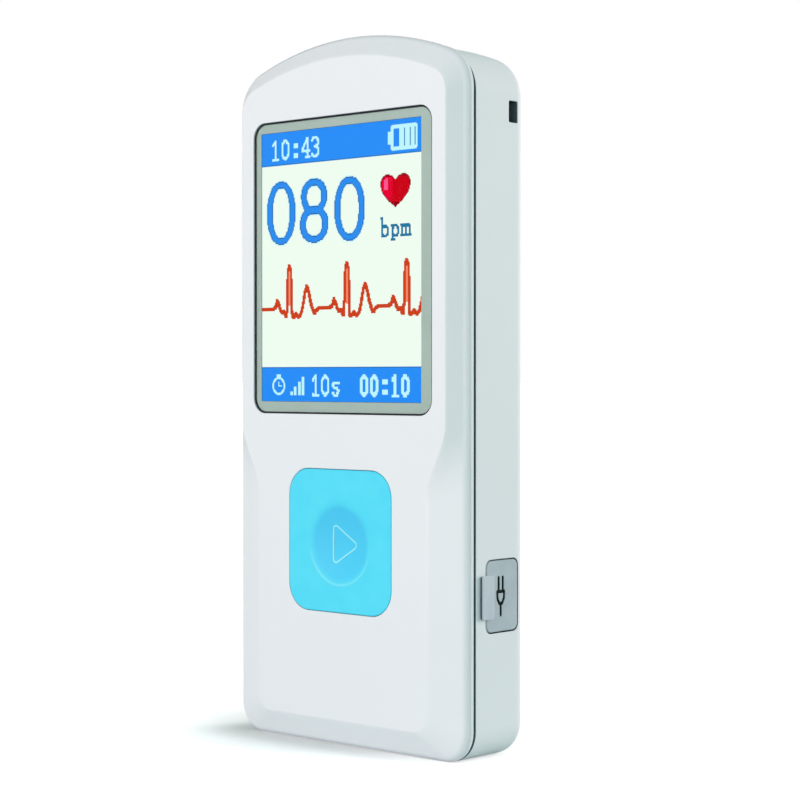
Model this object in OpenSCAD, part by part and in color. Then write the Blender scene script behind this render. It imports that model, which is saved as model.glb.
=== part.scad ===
// Hand-held ECG home monitor: a two-shell case with a colour display, a start button,
// a rubber port cover, a lanyard eye and three skin electrodes on the back.
// X runs to the right, Y to the back and Z up. The case stands on its bottom end at z = 0,
// and its mid depth is y = 0.

/* [Case] */
// Width across the flat sides
case_w = 45; // [44:0.5:48]
// Depth from the front face to the electrode faces
case_d = 15; // [15:0.1:16.5]
// Height from the bottom end to the top of the arch
case_h = 101.6; // [101:0.1:106]
// Radius of the arch along the top
arch_r = 52; // [46:1:70]
// Radius of the two shoulders under the arch
shoulder_r = 6; // [5:0.5:7]
// Radius of the two bottom corners
corner_r = 4.5; // [4:0.5:6]
// Radius of the edge round the back
back_edge_r = 2.5; // [2:0.1:3]
// Thickness of the side walls
wall = 1.5; // [1.4:0.1:1.6]
// Depth of the front shell, down to the parting line
front_depth = 3.35; // [3.2:0.05:3.5]
// Width of the shadow gap between the shells
reveal = 0.4; // [0.2:0.05:0.5]
// How much lower the rear shell's arch lies than the front shell's
rear_drop = 0.5; // [0:0.05:0.6]

/* [Raised front panel] */
// Width of the panel beside the display
panel_w_top = 40; // [39:0.2:40.6]
// Width of the panel beside the button
panel_w_low = 33.1; // [31:0.1:36]
// Height at which the panel starts to widen
waist_z_low = 36; // [33:0.5:38]
// Length over which the panel widens
waist_len = 10.5; // [8:0.5:12]
// Gap in height between the panel and the top of the case
panel_top_gap = 3; // [2.6:0.1:3.4]
// Gap in height between the panel and the bottom of the case
panel_foot_gap = 3.9; // [3:0.1:4.4]

/* [Display] */
// Width of the clear window and its printed border
lens_w = 34.6; // [34.4:0.1:35.6]
// Height of the clear window and its printed border
lens_h = 42.2; // [42:0.1:43]
// Distance from the top of the case down to the middle of the window
lens_drop = 32.55; // [32.3:0.05:32.9]
// Width of the lit picture
picture_w = 31.46; // [30:0.01:31.8]
// Height of the lit picture
picture_h = 39.32; // [38:0.01:39.8]
// How far the lit picture sits left of the window's middle
picture_shift = 0.47; // [0:0.01:0.5]

/* [Button] */
// Width of the button cap
button_w = 20; // [18:0.2:21]
// Height of the button cap
button_h = 20.4; // [18:0.1:21]
// Height of the button's middle above the bottom end
button_z = 29.6; // [29.2:0.05:29.8]
// Diameter of the finger dish in the cap
dish_d = 12; // [9:0.5:14]
// Depth of the finger dish
dish_depth = 0.7; // [0.4:0.1:0.9]
// Travel of the button
button_travel = 0.4; // [0.2:0.05:0.4]

/* [Port cover] */
// Height of the port's middle above the bottom end
port_z = 22.75; // [21.5:0.05:23]
// Width of the cover from front to back
cover_w = 6.8; // [6.6:0.1:7]
// Height of the cover
cover_h = 9.9; // [9.8:0.1:11]
// Gap round the cover
cover_gap = 0.16; // [0.15:0.01:0.25]
// How far the finger grip stands out of the side
grip_proud = 0.5; // [0.4:0.1:0.8]

/* [Electrodes] */
// Width of the upper electrode
electrode_w = 24; // [18:1:28]
// Height of the upper electrode
electrode_h = 9; // [8:0.5:10]
// Width of each lower electrode
pad_w = 12; // [10:0.5:13]
// Height of each lower electrode
pad_h = 14; // [11:0.5:15]
// How far the electrodes stand out of the back
electrode_proud = 0.2; // [0.1:0.05:0.3]

/* [Hidden] */
$fn = 48;
over = 0.5;        // how far a cutter runs past the surface that it opens
bite = 0.3;        // how far a rib or boss is sunk into the wall that carries it

// Levels along Y, from the front face to the back
front_y = -case_d / 2;
back_y = case_d / 2;
shell_back_y = back_y - electrode_proud;
parting_y = front_y + front_depth;
front_edge_y = parting_y - reveal / 2;
rear_edge_y = parting_y + reveal / 2;
front_wall = 1.4;
back_wall = 1.4;
front_in_y = front_y + front_wall;
back_in_y = shell_back_y - back_wall;
lens_y = front_y + 0.1;
lens_t = 0.3;
mask_t = 0.05;
tape_t = 0.1;
lens_seat_y = lens_y + lens_t + mask_t + tape_t;
gasket_y = front_in_y;
gasket_t = 0.3;
lcd_y = gasket_y + gasket_t;
lcd_glass_t = 1.3;
screen_y = lens_y + lens_t + mask_t + 0.05;
lcd_tray_t = 2.1;
tray_back_y = lcd_y + 2.4;
board_y = front_y + 6.3;
board_t = 1;
board_back_y = board_y + board_t;

// Rounded edge round the front shell
edge_r = 1.6;
edge_turn = 60;
edge_steps = 5;
edge_end_y = front_edge_y - edge_r * sin(edge_turn);
edge_inset = edge_r * (1 - cos(edge_turn));

// Raised panel
panel_corner_r = 2.2;
panel_shoulder_r = 3.6;
panel_wall = 1;
waist_z_high = waist_z_low + waist_len;

// Steps along the outline
corner_steps = 8;
waist_steps = 12;
shoulder_steps = 9;
arch_steps = 14;

// Tongue and rabbet that line the shells up
lip_in = 0.85;
lip_t = 0.7;
lip_h = 0.95;
lip_play = 0.05;

// Display
lens_z = case_h - lens_drop;
lens_r = 2;
lens_gap = 0.2;
picture_at = [-picture_shift, lens_z + 0.1];
window_w = 32.6;
window_h = 40.5;
window_r = 0.3;
screen_w = 32.2;
screen_h = 40.1;
glass_w = 36;
glass_h = 45.5;
glass_z = lens_z - 0.9;
tray_w = 37;
tray_h = 48;
tray_z = lens_z - 1.35;
tail_w = 14;
tail_t = 0.2;
tail_y = board_y - 0.6;
tail_z = tray_z - tray_h / 2 - 6;

// Button
button_r = 3.8;
dish_z = button_z - 0.4;
button_gap = 0.15;
flange = 1.2;
flange_t = 0.8;
flange_y = front_in_y + 0.05;
cap_face = 1;
cap_wall = 1.5;
collar_play = 0.3;
collar_t = 1;
collar_h = 1.9;
switch_w = 6;
switch_y = board_y - 3.1;
switch_frame_t = 0.3;
plunger_r = 1.7;
plunger_top_y = switch_y - 1.2;

// Fasteners: case screws from the back, board screws into the front shell
case_screw_top = [12, case_h - 6.3];
case_screw_low = [15.5, 6.5];
case_screws = [for (s = [-1, 1], p = [case_screw_top, case_screw_low]) [s * p.x, p.y]];
boss_r = 2.2;
column_r = 3;
meet_y = front_y + 5.5;
screw_r = 1;
pilot_r = 0.9;
screw_clear_r = 1.15;
head_r = 1.9;
head_h = 1.3;
head_seat_y = shell_back_y - 2;
head_clear_r = 2.1;
screw_len = 10;
board_screw_at = [[-15.8, 40.6], [15.8, 40.6], [0, 13]];
board_boss_r = 1.9;
board_screw_r = 0.8;
board_pilot_r = 0.7;
board_screw_len = 4;

// Port: the cover's middle, its pocket and its hinge
side_x = case_w / 2;
cover_y = 1.7;
cover_t = 1.2;
cover_r = 1;
pocket_floor_t = 1.3;
cover_inner_x = side_x - cover_t;
pocket_x = cover_inner_x - 0.02;
floor_x = cover_inner_x - pocket_floor_t;
hinge_x = side_x - 0.05;
hinge_y = cover_y + cover_w / 2 - 0.05;
socket_w = 2.6;
socket_h = 7.5;
socket_len = 5.6;
socket_y = board_back_y + socket_w / 2;
socket_t = 0.3;
socket_mouth_x = pocket_x - 0.2;
socket_end_x = socket_mouth_x - socket_len;
socket_play = 0.15;
plug_gap = 0.35;
plug_len = 0.9;
grip_h = 6.1;
grip_y = cover_y - 3.57;
grip_w = 2.5;
strap_h = 5;
strap_t = 0.8;
strap_y = hinge_y - 0.95;

// Lanyard eye in the rear shell
eye_z = case_h - 11.7;
eye_h = 3;
eye_w = 1.9;
eye_y = 4.1;
eye_back_x = side_x - 3.4;
eye_wall = 1.2;

// Circuit board and what it carries
board_w = 39;
board_z0 = 9.8;
board_z1 = case_h - 9.6;
upper_electrode_z = case_h - 17.6;
pad_x = 10.5;
pad_z = 30;
stud_r = 1.5;
stud_end_y = back_in_y - 0.7;
electrode_t = 0.5;
electrode_r = 2;
electrode_gap = 0.15;
contacts = [[0, upper_electrode_z], [-pad_x, pad_z], [pad_x, pad_z]];
spring_w = 2.6;
spring_t = 0.25;
spring_bend = 0.9;
spring_crest_r = 0.7;
clip_r = 3;
clip_t = 0.4;
battery_size = [30, 4.5, 35];
battery_z = 60;
battery_r = 1.6;
pad_t = 0.5;
cell_back_y = back_in_y - pad_t;
cell_y = cell_back_y - battery_size.y;
guard_h = 2.7;
lead_r = 0.5;
lead_bend = 1.5;
lead_x = 6;
lead_y = cell_y + 2;

// ---- Outlines ----

// Points along an arc in a plane
function arc(c, r, a0, a1, n) =
    [for (i = [0:n]) let (a = a0 + (a1 - a0) * i / n) c + r * [cos(a), sin(a)]];

function ease(t) = t * t * (3 - 2 * t);
function mix(a, b, t) = a * (1 - t) + b * t;
function mirrored(half) = [for (i = [len(half) - 1:-1:0]) [-half[i].x, half[i].y]];

// Right half of an arched outline, from its bottom edge up to its apex
function arched_half(w_low, w_high, z0, r_low, r_high, arch, z_top) =
    let (
        za = z_top - arch,
        zs = za + sqrt(pow(arch - r_high, 2) - pow(w_high - r_high, 2)),
        tangent = atan2(zs - za, w_high - r_high)
    )
    concat(
        arc([w_low - r_low, z0 + r_low], r_low, -90, 0, corner_steps),
        [for (i = [0:waist_steps]) let (t = i / waist_steps)
            [mix(w_low, w_high, ease(t)), mix(waist_z_low, waist_z_high, t)]],
        arc([w_high - r_high, zs], r_high, 0, tangent, shoulder_steps),
        [for (i = [1:arch_steps]) let (a = mix(tangent, 90, i / arch_steps))
            [0, za] + arch * [cos(a), sin(a)]]
    );

// A ring is the right half and its mirror image, with the apex taken once
function arched_ring(half) =
    concat([for (i = [0:len(half) - 2]) half[i]], [[0, half[len(half) - 1].y]],
        [for (i = [len(half) - 2:-1:0]) [-half[i].x, half[i].y]]);

// The case outline, moved inward by an inset and with its arch lowered by a drop
function case_ring(inset = 0, drop = 0) = arched_ring(arched_half(case_w / 2 - inset, case_w / 2 - inset,
    inset, corner_r - inset, shoulder_r - inset, arch_r - inset, case_h - drop - inset));

// The waisted outline of the raised panel, moved inward by an inset
function panel_ring(inset = 0) = arched_ring(arched_half(panel_w_low / 2 - inset,
    panel_w_top / 2 - inset, panel_foot_gap + inset, panel_corner_r - inset,
    panel_shoulder_r - inset, arch_r - panel_top_gap - inset, case_h - panel_top_gap - inset));

// A rectangle with round corners, in the same order round as the rings above
function round_rect(w, h, r, n = 6) =
    let (half = concat(arc([w / 2 - r, r - h / 2], r, -90, 0, n), arc([w / 2 - r, h / 2 - r], r, 0, 90, n)))
    concat(half, mirrored(half));

function moved(points, by) = [for (p = points) p + by];

// A rounded rectangle round a place, grown on all sides by a margin
function plate_at(at, w, h, r, grow = 0) = moved(round_rect(w + 2 * grow, h + 2 * grow, r + grow), at);

// A band of constant thickness along a path, as one closed outline
function band(path, t) =
    let (
        n = len(path),
        dir = [for (i = [0:n - 1]) let (d = path[min(i + 1, n - 1)] - path[max(i - 1, 0)]) d / norm(d)],
        side = [for (d = dir) [-d.y, d.x] * t / 2]
    )
    concat([for (i = [0:n - 1]) path[i] + side[i]], [for (i = [n - 1:-1:0]) path[i] - side[i]]);

// ---- Solids from outlines ----

// One end of a loft, closed by strips between the two halves of a symmetric ring
function end_cap(n, first, flip) = [for (i = [0:ceil(n / 2) - 2])
    let (
        far = n - 2 - i,
        strip = i + 1 == far ? [i, i + 1, n - 1 - i] : [i, i + 1, far, n - 1 - i],
        face = [for (k = strip) first + k]
    )
    flip ? [for (k = [len(face) - 1:-1:0]) face[k]] : face];

// A closed solid through rings that stand at rising levels of Y
module loft(rings, levels) {
    n = len(rings[0]);
    last = len(rings) - 1;
    points = [for (k = [0:last], p = rings[k]) [p.x, levels[k], p.y]];
    sides = [for (k = [0:last - 1], i = [0:n - 1]) let (a = k * n + i, b = k * n + (i + 1) % n)
        each [[a, a + n, b], [b, a + n, b + n]]];
    polyhedron(points, concat(sides, end_cap(n, 0, true), end_cap(n, last * n, false)));
}

// Extrudes an [x, z] outline between two levels of Y
module slab(y0, y1) {
    translate([0, y1, 0]) rotate([90, 0, 0]) linear_extrude(height = y1 - y0) children();
}

// Extrudes a [y, z] outline between two levels of X
module side_slab(x0, x1) {
    translate([x0, 0, 0]) rotate([90, 0, 90]) linear_extrude(height = x1 - x0) children();
}

// A cylinder along Y at an [x, z] place
module rod(at, r, y0, y1) {
    translate([at.x, y1, at.y]) rotate([90, 0, 0]) cylinder(r = r, h = y1 - y0);
}

// A block on the board, given by its middle in [x, z], its size and the level of its front
module chip(at, size, y0) {
    translate([at.x - size.x / 2, y0, at.y - size.z / 2]) cube(size);
}

// A flat frame between two rounded rectangles
module frame_plate(outer, inner, outer_r, inner_r, at, inner_at, y0, y1) {
    difference() {
        slab(y0, y1) polygon(plate_at(at, outer.x, outer.y, outer_r));
        slab(y0 - over, y1 + over) polygon(plate_at(inner_at, inner.x, inner.y, inner_r));
    }
}

// ---- Case ----

// Outside of the front shell: a rounded edge, a sloping flank and the raised panel
module front_skin() {
    edge_ring = case_ring(edge_inset);
    panel = panel_ring();
    flank = [[1.05, 1], [0.96, 0.965], [0.86, 0.86], [0.45, 0.45]];
    turns = [for (i = [edge_steps:-1:1]) edge_turn * i / edge_steps];
    loft(
        concat([for (f = flank) mix(edge_ring, panel, f[0])],
            [for (a = turns) case_ring(edge_r * (1 - cos(a)))], [case_ring()]),
        concat([for (f = flank) mix(edge_end_y, front_y, f[1])],
            [for (a = turns) front_edge_y - edge_r * sin(a)], [front_edge_y])
    );
}

module front_cavity() {
    loft([panel_ring(panel_wall), case_ring(wall), case_ring(wall)],
        [front_in_y, front_edge_y - 0.3, front_edge_y + over]);
}

module front_bosses() {
    for (p = case_screws) rod(p, boss_r, front_in_y - bite, meet_y);
    for (p = board_screw_at) rod(p, board_boss_r, front_in_y - bite, board_y);
}

// Ribs that hold the display module at its top and bottom edges
module display_ribs() {
    rib = [5, 2.8, 0.7];
    rib_x = 11;
    for (x = [-rib_x, rib_x], z = [tray_z - tray_h / 2 - 0.15 - rib.z, tray_z + tray_h / 2 + 0.15])
        translate([x - rib.x / 2, front_in_y - bite, z]) cube(rib);
}

// Wall behind the panel that guides the button
module button_collar() {
    guide = [button_w, button_h] + 2 * (flange + collar_play) * [1, 1];
    frame_plate(guide + 2 * collar_t * [1, 1], guide, button_r + 2, button_r + 1,
        [0, button_z], [0, button_z], front_in_y - bite, front_in_y + collar_h);
}

module front_shell() {
    color("#eef0f2") difference() {
        union() {
            difference() {
                front_skin();
                front_cavity();
                slab(front_edge_y - lip_h + reveal - lip_play, front_edge_y + over)
                    polygon(case_ring(lip_in - lip_play));
            }
            front_bosses();
            button_collar();
            display_ribs();
        }
        slab(front_y - over, lens_seat_y) polygon(plate_at([0, lens_z], lens_w, lens_h, lens_r, lens_gap));
        slab(front_y, gasket_y + over) polygon(plate_at(picture_at, window_w, window_h, window_r));
        slab(front_y - over, front_in_y + over)
            polygon(plate_at([0, button_z], button_w, button_h, button_r, button_gap));
        for (p = case_screws) rod(p, pilot_r, meet_y - 3.4, meet_y + over);
        for (p = board_screw_at) rod(p, board_pilot_r, board_y - 3.4, board_y + over);
    }
}

// Outside of the rear shell, with its edge rounded towards the back
module rear_skin() {
    turns = [for (i = [0:6]) 15 * i];
    loft(concat([case_ring(0, rear_drop)], [for (a = turns) case_ring(back_edge_r * (1 - cos(a)), rear_drop)]),
        concat([rear_edge_y], [for (a = turns) shell_back_y - back_edge_r * (1 - sin(a))]));
}

module rear_cavity() {
    inner_r = back_edge_r - 1;
    turns = [for (i = [0:3]) 30 * i];
    loft(concat([case_ring(wall, rear_drop)],
            [for (a = turns) case_ring(wall + inner_r * (1 - cos(a)), rear_drop)]),
        concat([rear_edge_y - over], [for (a = turns) back_in_y - inner_r * (1 - sin(a))]));
}

// Tongue round the rear shell's rim, which enters the front shell
module rear_lip() {
    difference() {
        slab(rear_edge_y - lip_h, rear_edge_y + 1) polygon(case_ring(lip_in));
        slab(rear_edge_y - lip_h - over, rear_edge_y + 1 + over) polygon(case_ring(lip_in + lip_t));
    }
}

// Low walls on the back wall that keep the battery in place
module battery_fence() {
    fence = [battery_size.x, battery_size.z] + [0.6, 0.6];
    frame_plate(fence + [1.6, 1.6], fence, 2, 1.5, [0, battery_z], [0, battery_z],
        back_in_y - 1.6, back_in_y + bite);
}

// Solid corner that the lanyard eye runs through
module eye_housing() {
    corner = [eye_back_x - eye_w / 2, eye_y - eye_w / 2, eye_z - eye_h / 2] - eye_wall * [1, 1, 1];
    far_corner = [side_x - wall / 2, shell_back_y - back_wall / 2, eye_z + eye_h / 2 + eye_wall];
    translate(corner) cube(far_corner - corner);
}

// A channel from the right side round to the back, behind a post at the corner
module eye_channel() {
    translate([eye_back_x - eye_w / 2, eye_y - eye_w / 2, eye_z - eye_h / 2]) {
        cube([case_w, eye_w, eye_h]);
        cube([eye_w, case_d, eye_h]);
    }
}

// Thicker wall round the port, inside the shell
module port_block() {
    translate([floor_x, cover_y - cover_w / 2 - 1, port_z - cover_h / 2 - 1])
        cube([side_x - wall / 2 - floor_x, cover_w + 2, cover_h + 2]);
}

// Pocket for the cover, with the socket's opening and the strap's slot in its floor
module port_cuts() {
    side_slab(pocket_x, side_x + over)
        polygon(plate_at([cover_y, port_z], cover_w, cover_h, cover_r, cover_gap));
    side_slab(floor_x - over, side_x) polygon(socket_outline(socket_play));
    translate([floor_x - over, strap_y - strap_t / 2 - 0.1, port_z - strap_h / 2 - 0.1])
        cube([side_x - floor_x, strap_t + 0.2, strap_h + 0.2]);
}

module electrode_seats() {
    seat_y = back_y - electrode_t;
    slab(seat_y, back_y + over)
        polygon(plate_at([0, upper_electrode_z], electrode_w, electrode_h, electrode_r, electrode_gap));
    for (x = [-pad_x, pad_x]) slab(seat_y, back_y + over)
        polygon(plate_at([x, pad_z], pad_w, pad_h, electrode_r, electrode_gap));
    for (p = contacts) rod(p, stud_r + 0.1, back_in_y - over, back_y);
}

module rear_shell() {
    color("#eef0f2") difference() {
        union() {
            difference() {
                rear_skin();
                rear_cavity();
            }
            rear_lip();
            for (p = case_screws) rod(p, column_r, meet_y, shell_back_y - back_wall / 2);
            battery_fence();
            eye_housing();
            port_block();
        }
        for (p = case_screws) rod(p, screw_clear_r, meet_y - over, shell_back_y);
        for (p = case_screws) rod(p, head_clear_r, head_seat_y, shell_back_y + over);
        eye_channel();
        port_cuts();
        electrode_seats();
    }
}

// ---- Display ----

module display_lens() {
    color("#dfeee8", 0.35) slab(lens_y, lens_y + lens_t)
        polygon(plate_at([0, lens_z], lens_w, lens_h, lens_r));
}

// Printed border behind the window
module lens_mask() {
    color("#a3b2a8") frame_plate([lens_w, lens_h], [picture_w + 0.1, picture_h + 0.1], lens_r, 0.1,
        [0, lens_z], picture_at, lens_y + lens_t, lens_y + lens_t + mask_t);
}

module lens_tape() {
    color("#202224") frame_plate([lens_w, lens_h], [window_w, window_h], lens_r, window_r,
        [0, lens_z], picture_at, lens_y + lens_t + mask_t, lens_seat_y);
}

module display_gasket() {
    color("#17181a") frame_plate([glass_w - 0.4, window_h + 1.6], [window_w, window_h], 1.2, window_r,
        [0, picture_at.y], picture_at, gasket_y, lcd_y);
}

// Glass of the display, with the front pane standing forward into the window
module lcd_panel() {
    color("#f0fbf0") union() {
        chip([0, glass_z], [glass_w, lcd_glass_t, glass_h], lcd_y);
        chip(picture_at, [screen_w, lcd_y - screen_y + bite, screen_h], screen_y);
    }
}

// Backlight tray that holds the glass, open at the bottom for the ribbon
module lcd_tray() {
    rim_y = tray_back_y - lcd_tray_t;
    pocket = [glass_w + 0.1, lcd_y + lcd_glass_t - rim_y + over, glass_h + 0.1];
    color("#e8e8e4") difference() {
        chip([0, tray_z], [tray_w, lcd_tray_t, tray_h], rim_y);
        chip([0, glass_z], pocket, rim_y - over);
        chip([0, tray_z - tray_h / 2], [18, pocket.y, 4], rim_y - over);
    }
}

// Flat flexible tail, from the glass down and back to its socket on the board
module lcd_ribbon() {
    bend = 1.1;
    start = [lcd_y + lcd_glass_t - 0.4, glass_z - glass_h / 2];
    low_z = start.y - 2.2;
    path = concat([start], arc([start.x + bend, low_z + bend], bend, 180, 270, 6),
        arc([tail_y - bend, low_z - bend], bend, 90, 0, 6), [[tail_y, tail_z]]);
    color("#c07a28") side_slab(-tail_w / 2, tail_w / 2) polygon(band(path, tail_t));
}

// Socket with a slot in its top edge, which the ribbon enters by 1 mm
module ribbon_socket() {
    socket = [tail_w + 2, 1.1, 3];
    color("#ece6d8") difference() {
        chip([0, tail_z + 1 - socket.z / 2], socket, board_y - socket.y);
        chip([0, tail_z + 1], [tail_w + 0.2, tail_t + 0.2, 2], tail_y - tail_t / 2 - 0.1);
    }
}

// Plastic carrier between the display module and the board, with three windows
module lcd_holder() {
    size = [tray_w, 46];
    color("#2b2d30") difference() {
        slab(tray_back_y, board_y) polygon(plate_at([0, tray_z + 0.6], size.x, size.y, 1));
        for (i = [-1:1]) slab(tray_back_y - over, board_y + over)
            polygon(plate_at([0, tray_z + 0.6 + i * 14.5], size.x - 5, 12, 1));
    }
}

// ---- Board and its parts ----

module main_board() {
    color("#1f6b45") difference() {
        slab(board_y, board_back_y)
            polygon(plate_at([0, (board_z0 + board_z1) / 2], board_w, board_z1 - board_z0, 1.2));
        for (p = board_screw_at) rod(p, board_screw_r + 0.15, board_y - over, board_back_y + over);
    }
}

// A flat package with rows of leads on two or four sides
module packaged_chip(at, body, lead_rows, pitch) {
    foot = 0.7;
    color("#26282b") chip(at, body, board_back_y + 0.1);
    for (turn = lead_rows) translate([at.x, 0, at.y]) rotate([0, turn, 0])
        for (i = [-(body.x / pitch - 2) / 2:1:(body.x / pitch - 2) / 2])
            color("#c8ccd0") translate([i * pitch - pitch / 4, board_back_y, body.x / 2 - 0.1])
                cube([pitch / 2, 0.25, foot]);
}

module processor_chip() {
    packaged_chip([-2, 22], [10, 1.3, 10], [0, 90, 180, 270], 1);
}

module amplifier_chip() {
    packaged_chip([-13, 19], [7, 1.1, 7], [0, 90, 180, 270], 1);
}

module memory_chip() {
    packaged_chip([-2, 34], [5, 1.4, 5], [90, 270], 1.25);
}

module wireless_module() {
    can = [11, 1.6, 8.5];
    color("#c9cdd1") union() {
        chip([-11, upper_electrode_z + 1.5], can, board_back_y + 0.4);
        chip([-11, upper_electrode_z + 0.5], [12.5, 0.5, 12.5], board_back_y);
    }
}

// Metal can with round ends
module crystal() {
    size = [2.6, 1.2, 5];
    at = [7.5, 17];
    color("#d6d9dc") union() {
        chip(at, size, board_back_y);
        for (s = [-1, 1]) rod([at.x, at.y + s * size.z / 2], size.x / 2, board_back_y, board_back_y + size.y);
    }
}

// Rows of resistors and capacitors
module small_parts() {
    part = [1, 0.5, 0.6];
    rows = [[-6, 29.4], [-17, 13], [8, 81]];
    color("#b79a6a") for (p = rows, i = [0:5]) chip(p + [1.8 * i, 0], part, board_back_y);
}

// ---- Button and its switch ----

module start_button() {
    soft = 0.25;
    rings = [for (s = [soft, soft * 0.3, 0]) round_rect(button_w - 2 * s, button_h - 2 * s, button_r - s)];
    dish_r = (pow(dish_d / 2, 2) + pow(dish_depth, 2)) / (2 * dish_depth);
    color("#5fe0fb") difference() {
        union() {
            translate([0, 0, button_z])
                loft([rings[0], rings[1], rings[2], rings[2]],
                    [front_y, front_y + soft * 0.3, front_y + soft, flange_y + flange_t]);
            slab(flange_y, flange_y + flange_t)
                polygon(plate_at([0, button_z], button_w, button_h, button_r, flange));
        }
        translate([0, front_y + dish_depth - dish_r, dish_z]) sphere(r = dish_r, $fn = 200);
        difference() {
            slab(front_y + dish_depth + cap_face, flange_y + flange_t + over)
                polygon(plate_at([0, button_z], button_w, button_h, button_r, -cap_wall));
            rod([0, button_z], plunger_r + 0.7, front_y, plunger_top_y);
        }
    }
}

module switch_base() {
    well_y = switch_y + 1.3;
    color("#1d1f21") difference() {
        chip([0, button_z], [switch_w, board_y - switch_y, switch_w], switch_y);
        rod([0, button_z], plunger_r + 0.15, switch_y - over, well_y);
    }
    color("#c8ccd0") for (s = [-1, 1], z = [-1, 1])
        chip([s * (switch_w / 2 + 0.5), button_z + z * 2.2], [1, 0.3, 0.7], board_y - 0.3);
}

module switch_frame() {
    color("#cfd3d6") difference() {
        chip([0, button_z], [switch_w, switch_frame_t, switch_w], switch_y - switch_frame_t);
        rod([0, button_z], plunger_r + 0.15, switch_y - 1, switch_y + over);
    }
}

module switch_plunger() {
    color("#2a2c2e") rod([0, button_z], plunger_r, plunger_top_y, switch_y + 0.7);
}

// ---- Port ----

// Socket outline in Y and Z, narrower towards the board, grown on all sides by a margin
function socket_outline(grow) =
    let (
        w = socket_w / 2 + grow,
        h = socket_h / 2 + grow,
        taper = 0.9,
        half = [[w, h], [-w + 1.1, h], [-w, h - taper]]
    )
    moved(concat(half, [for (i = [len(half) - 1:-1:0]) [half[i].x, -half[i].y]]), [socket_y, port_z]);

module usb_socket() {
    color("#c5c9cd") difference() {
        side_slab(socket_end_x, socket_mouth_x) polygon(socket_outline(0));
        side_slab(socket_end_x + 0.5, socket_mouth_x + over) polygon(socket_outline(-socket_t));
    }
}

// Insulator inside the socket, with its five contacts
module usb_tongue() {
    tongue = [socket_len - 1.8, 0.6, 3.8];
    back = [socket_end_x + 0.5, socket_y + 0.1, port_z - tongue.z / 2];
    color("#1b1c1e") translate(back) cube(tongue);
    color("#d9b45a") for (i = [-2:2])
        translate([back.x + 0.4, back.y - 0.1, port_z + 0.65 * i - 0.15]) cube([tongue.x - 0.8, 0.1, 0.3]);
}

// Section of the finger grip, in X and Y: it rises out of the cover and overhangs the case
function grip_section() =
    let (
        top_x = side_x + grip_proud,
        front_y = grip_y - grip_w / 2,
        foot = [side_x, grip_y + grip_w / 2 + 0.2],
        nose_r = 0.15,
        heel = 0.25,
        under_x = side_x + 0.1,
        root_x = side_x - cover_t / 3
    )
    concat(
        [[root_x, foot.y]],
        [for (i = [0:5]) let (a = 18 * i) [mix(foot.x, top_x, sin(a)), foot.y - heel + heel * cos(a)]],
        arc([top_x - nose_r, front_y + nose_r], nose_r, 0, -90, 5),
        [[under_x, front_y], [under_x, cover_y - cover_w / 2], [root_x, cover_y - cover_w / 2]]
    );

module port_cover() {
    soft = 0.12;
    function plate(s) = round_rect(cover_w - 2 * s, cover_h - 2 * s, cover_r - s);
    color("#a9b6bb") union() {
        translate([0, cover_y, port_z]) rotate([0, 0, 90]) mirror([0, 1, 0])
            loft([plate(0), plate(0), plate(soft)], [cover_inner_x, side_x - soft, side_x]);
        side_slab(cover_inner_x - plug_len, cover_inner_x + bite)
            polygon(socket_outline(-socket_t - plug_gap));
        translate([0, 0, port_z - grip_h / 2]) linear_extrude(height = grip_h) polygon(grip_section());
    }
}

// Rubber strap that keeps the cover on the case: a web through the port's floor and a cross bar inside
module port_strap() {
    bar = [0.9, 1.6, strap_h + 2];
    bar_x = floor_x - bar.x;
    color("#98a5aa") union() {
        translate([bar_x, strap_y - strap_t / 2, port_z - strap_h / 2])
            cube([cover_inner_x - 0.3 - bar_x, strap_t, strap_h]);
        translate([bar_x, strap_y - strap_t / 2, port_z - bar.z / 2]) cube(bar);
    }
}

// ---- Power ----

// Soft pouch: a block with its long sides rounded
module battery_cell() {
    half = [battery_size.x / 2 - battery_r, battery_size.y / 2];
    side = [for (a = [-90:22.5:90]) [half.x + battery_r * cos(a), half.y * sin(a)]];
    section = [for (s = [1, -1], p = side) s * p];
    color("#9aa0a6") translate([0, cell_y + half.y, battery_z - battery_size.z / 2])
        linear_extrude(height = battery_size.z) polygon(section);
}

module battery_board() {
    size = [26, 2.4, guard_h];
    color("#d8b13a") chip([0, battery_z - battery_size.z / 2 - guard_h / 2], size, cell_y + 0.8);
}

module battery_pad() {
    color("#3a3c3e") slab(cell_back_y, back_in_y)
        polygon(plate_at([0, battery_z], battery_size.x - 4, battery_size.z - 5, 1));
}

// A lead from the protection board: down, round a bend and onto the circuit board
module battery_lead(x) {
    top_z = battery_z - battery_size.z / 2 - guard_h;
    bend_z = top_z - 0.4;
    translate([x, lead_y, bend_z]) cylinder(r = lead_r, h = top_z - bend_z);
    translate([x, lead_y - lead_bend, bend_z]) rotate([90, 0, 90])
        rotate_extrude(angle = -90) translate([lead_bend, 0]) circle(r = lead_r);
    rod([x, bend_z - lead_bend], lead_r, board_back_y, lead_y - lead_bend);
}

module lead_positive() {
    color("#c33a32") battery_lead(lead_x);
}

module lead_negative() {
    color("#232527") battery_lead(lead_x + 3);
}

// ---- Electrodes ----

// A steel pad with a stud through the back wall
module electrode(at, w, h) {
    soft = 0.15;
    function pad(s) = round_rect(w - 2 * s, h - 2 * s, electrode_r - s);
    color("#c9cdd0") union() {
        translate([at.x, 0, at.y])
            loft([pad(0), pad(0), pad(soft)], [back_y - electrode_t, back_y - soft, back_y]);
        rod(at, stud_r, stud_end_y, back_y - electrode_t + 0.1);
    }
}

module electrode_upper() {
    electrode(contacts[0], electrode_w, electrode_h);
}

module electrode_left() {
    electrode(contacts[1], pad_w, pad_h);
}

module electrode_right() {
    electrode(contacts[2], pad_w, pad_h);
}

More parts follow.
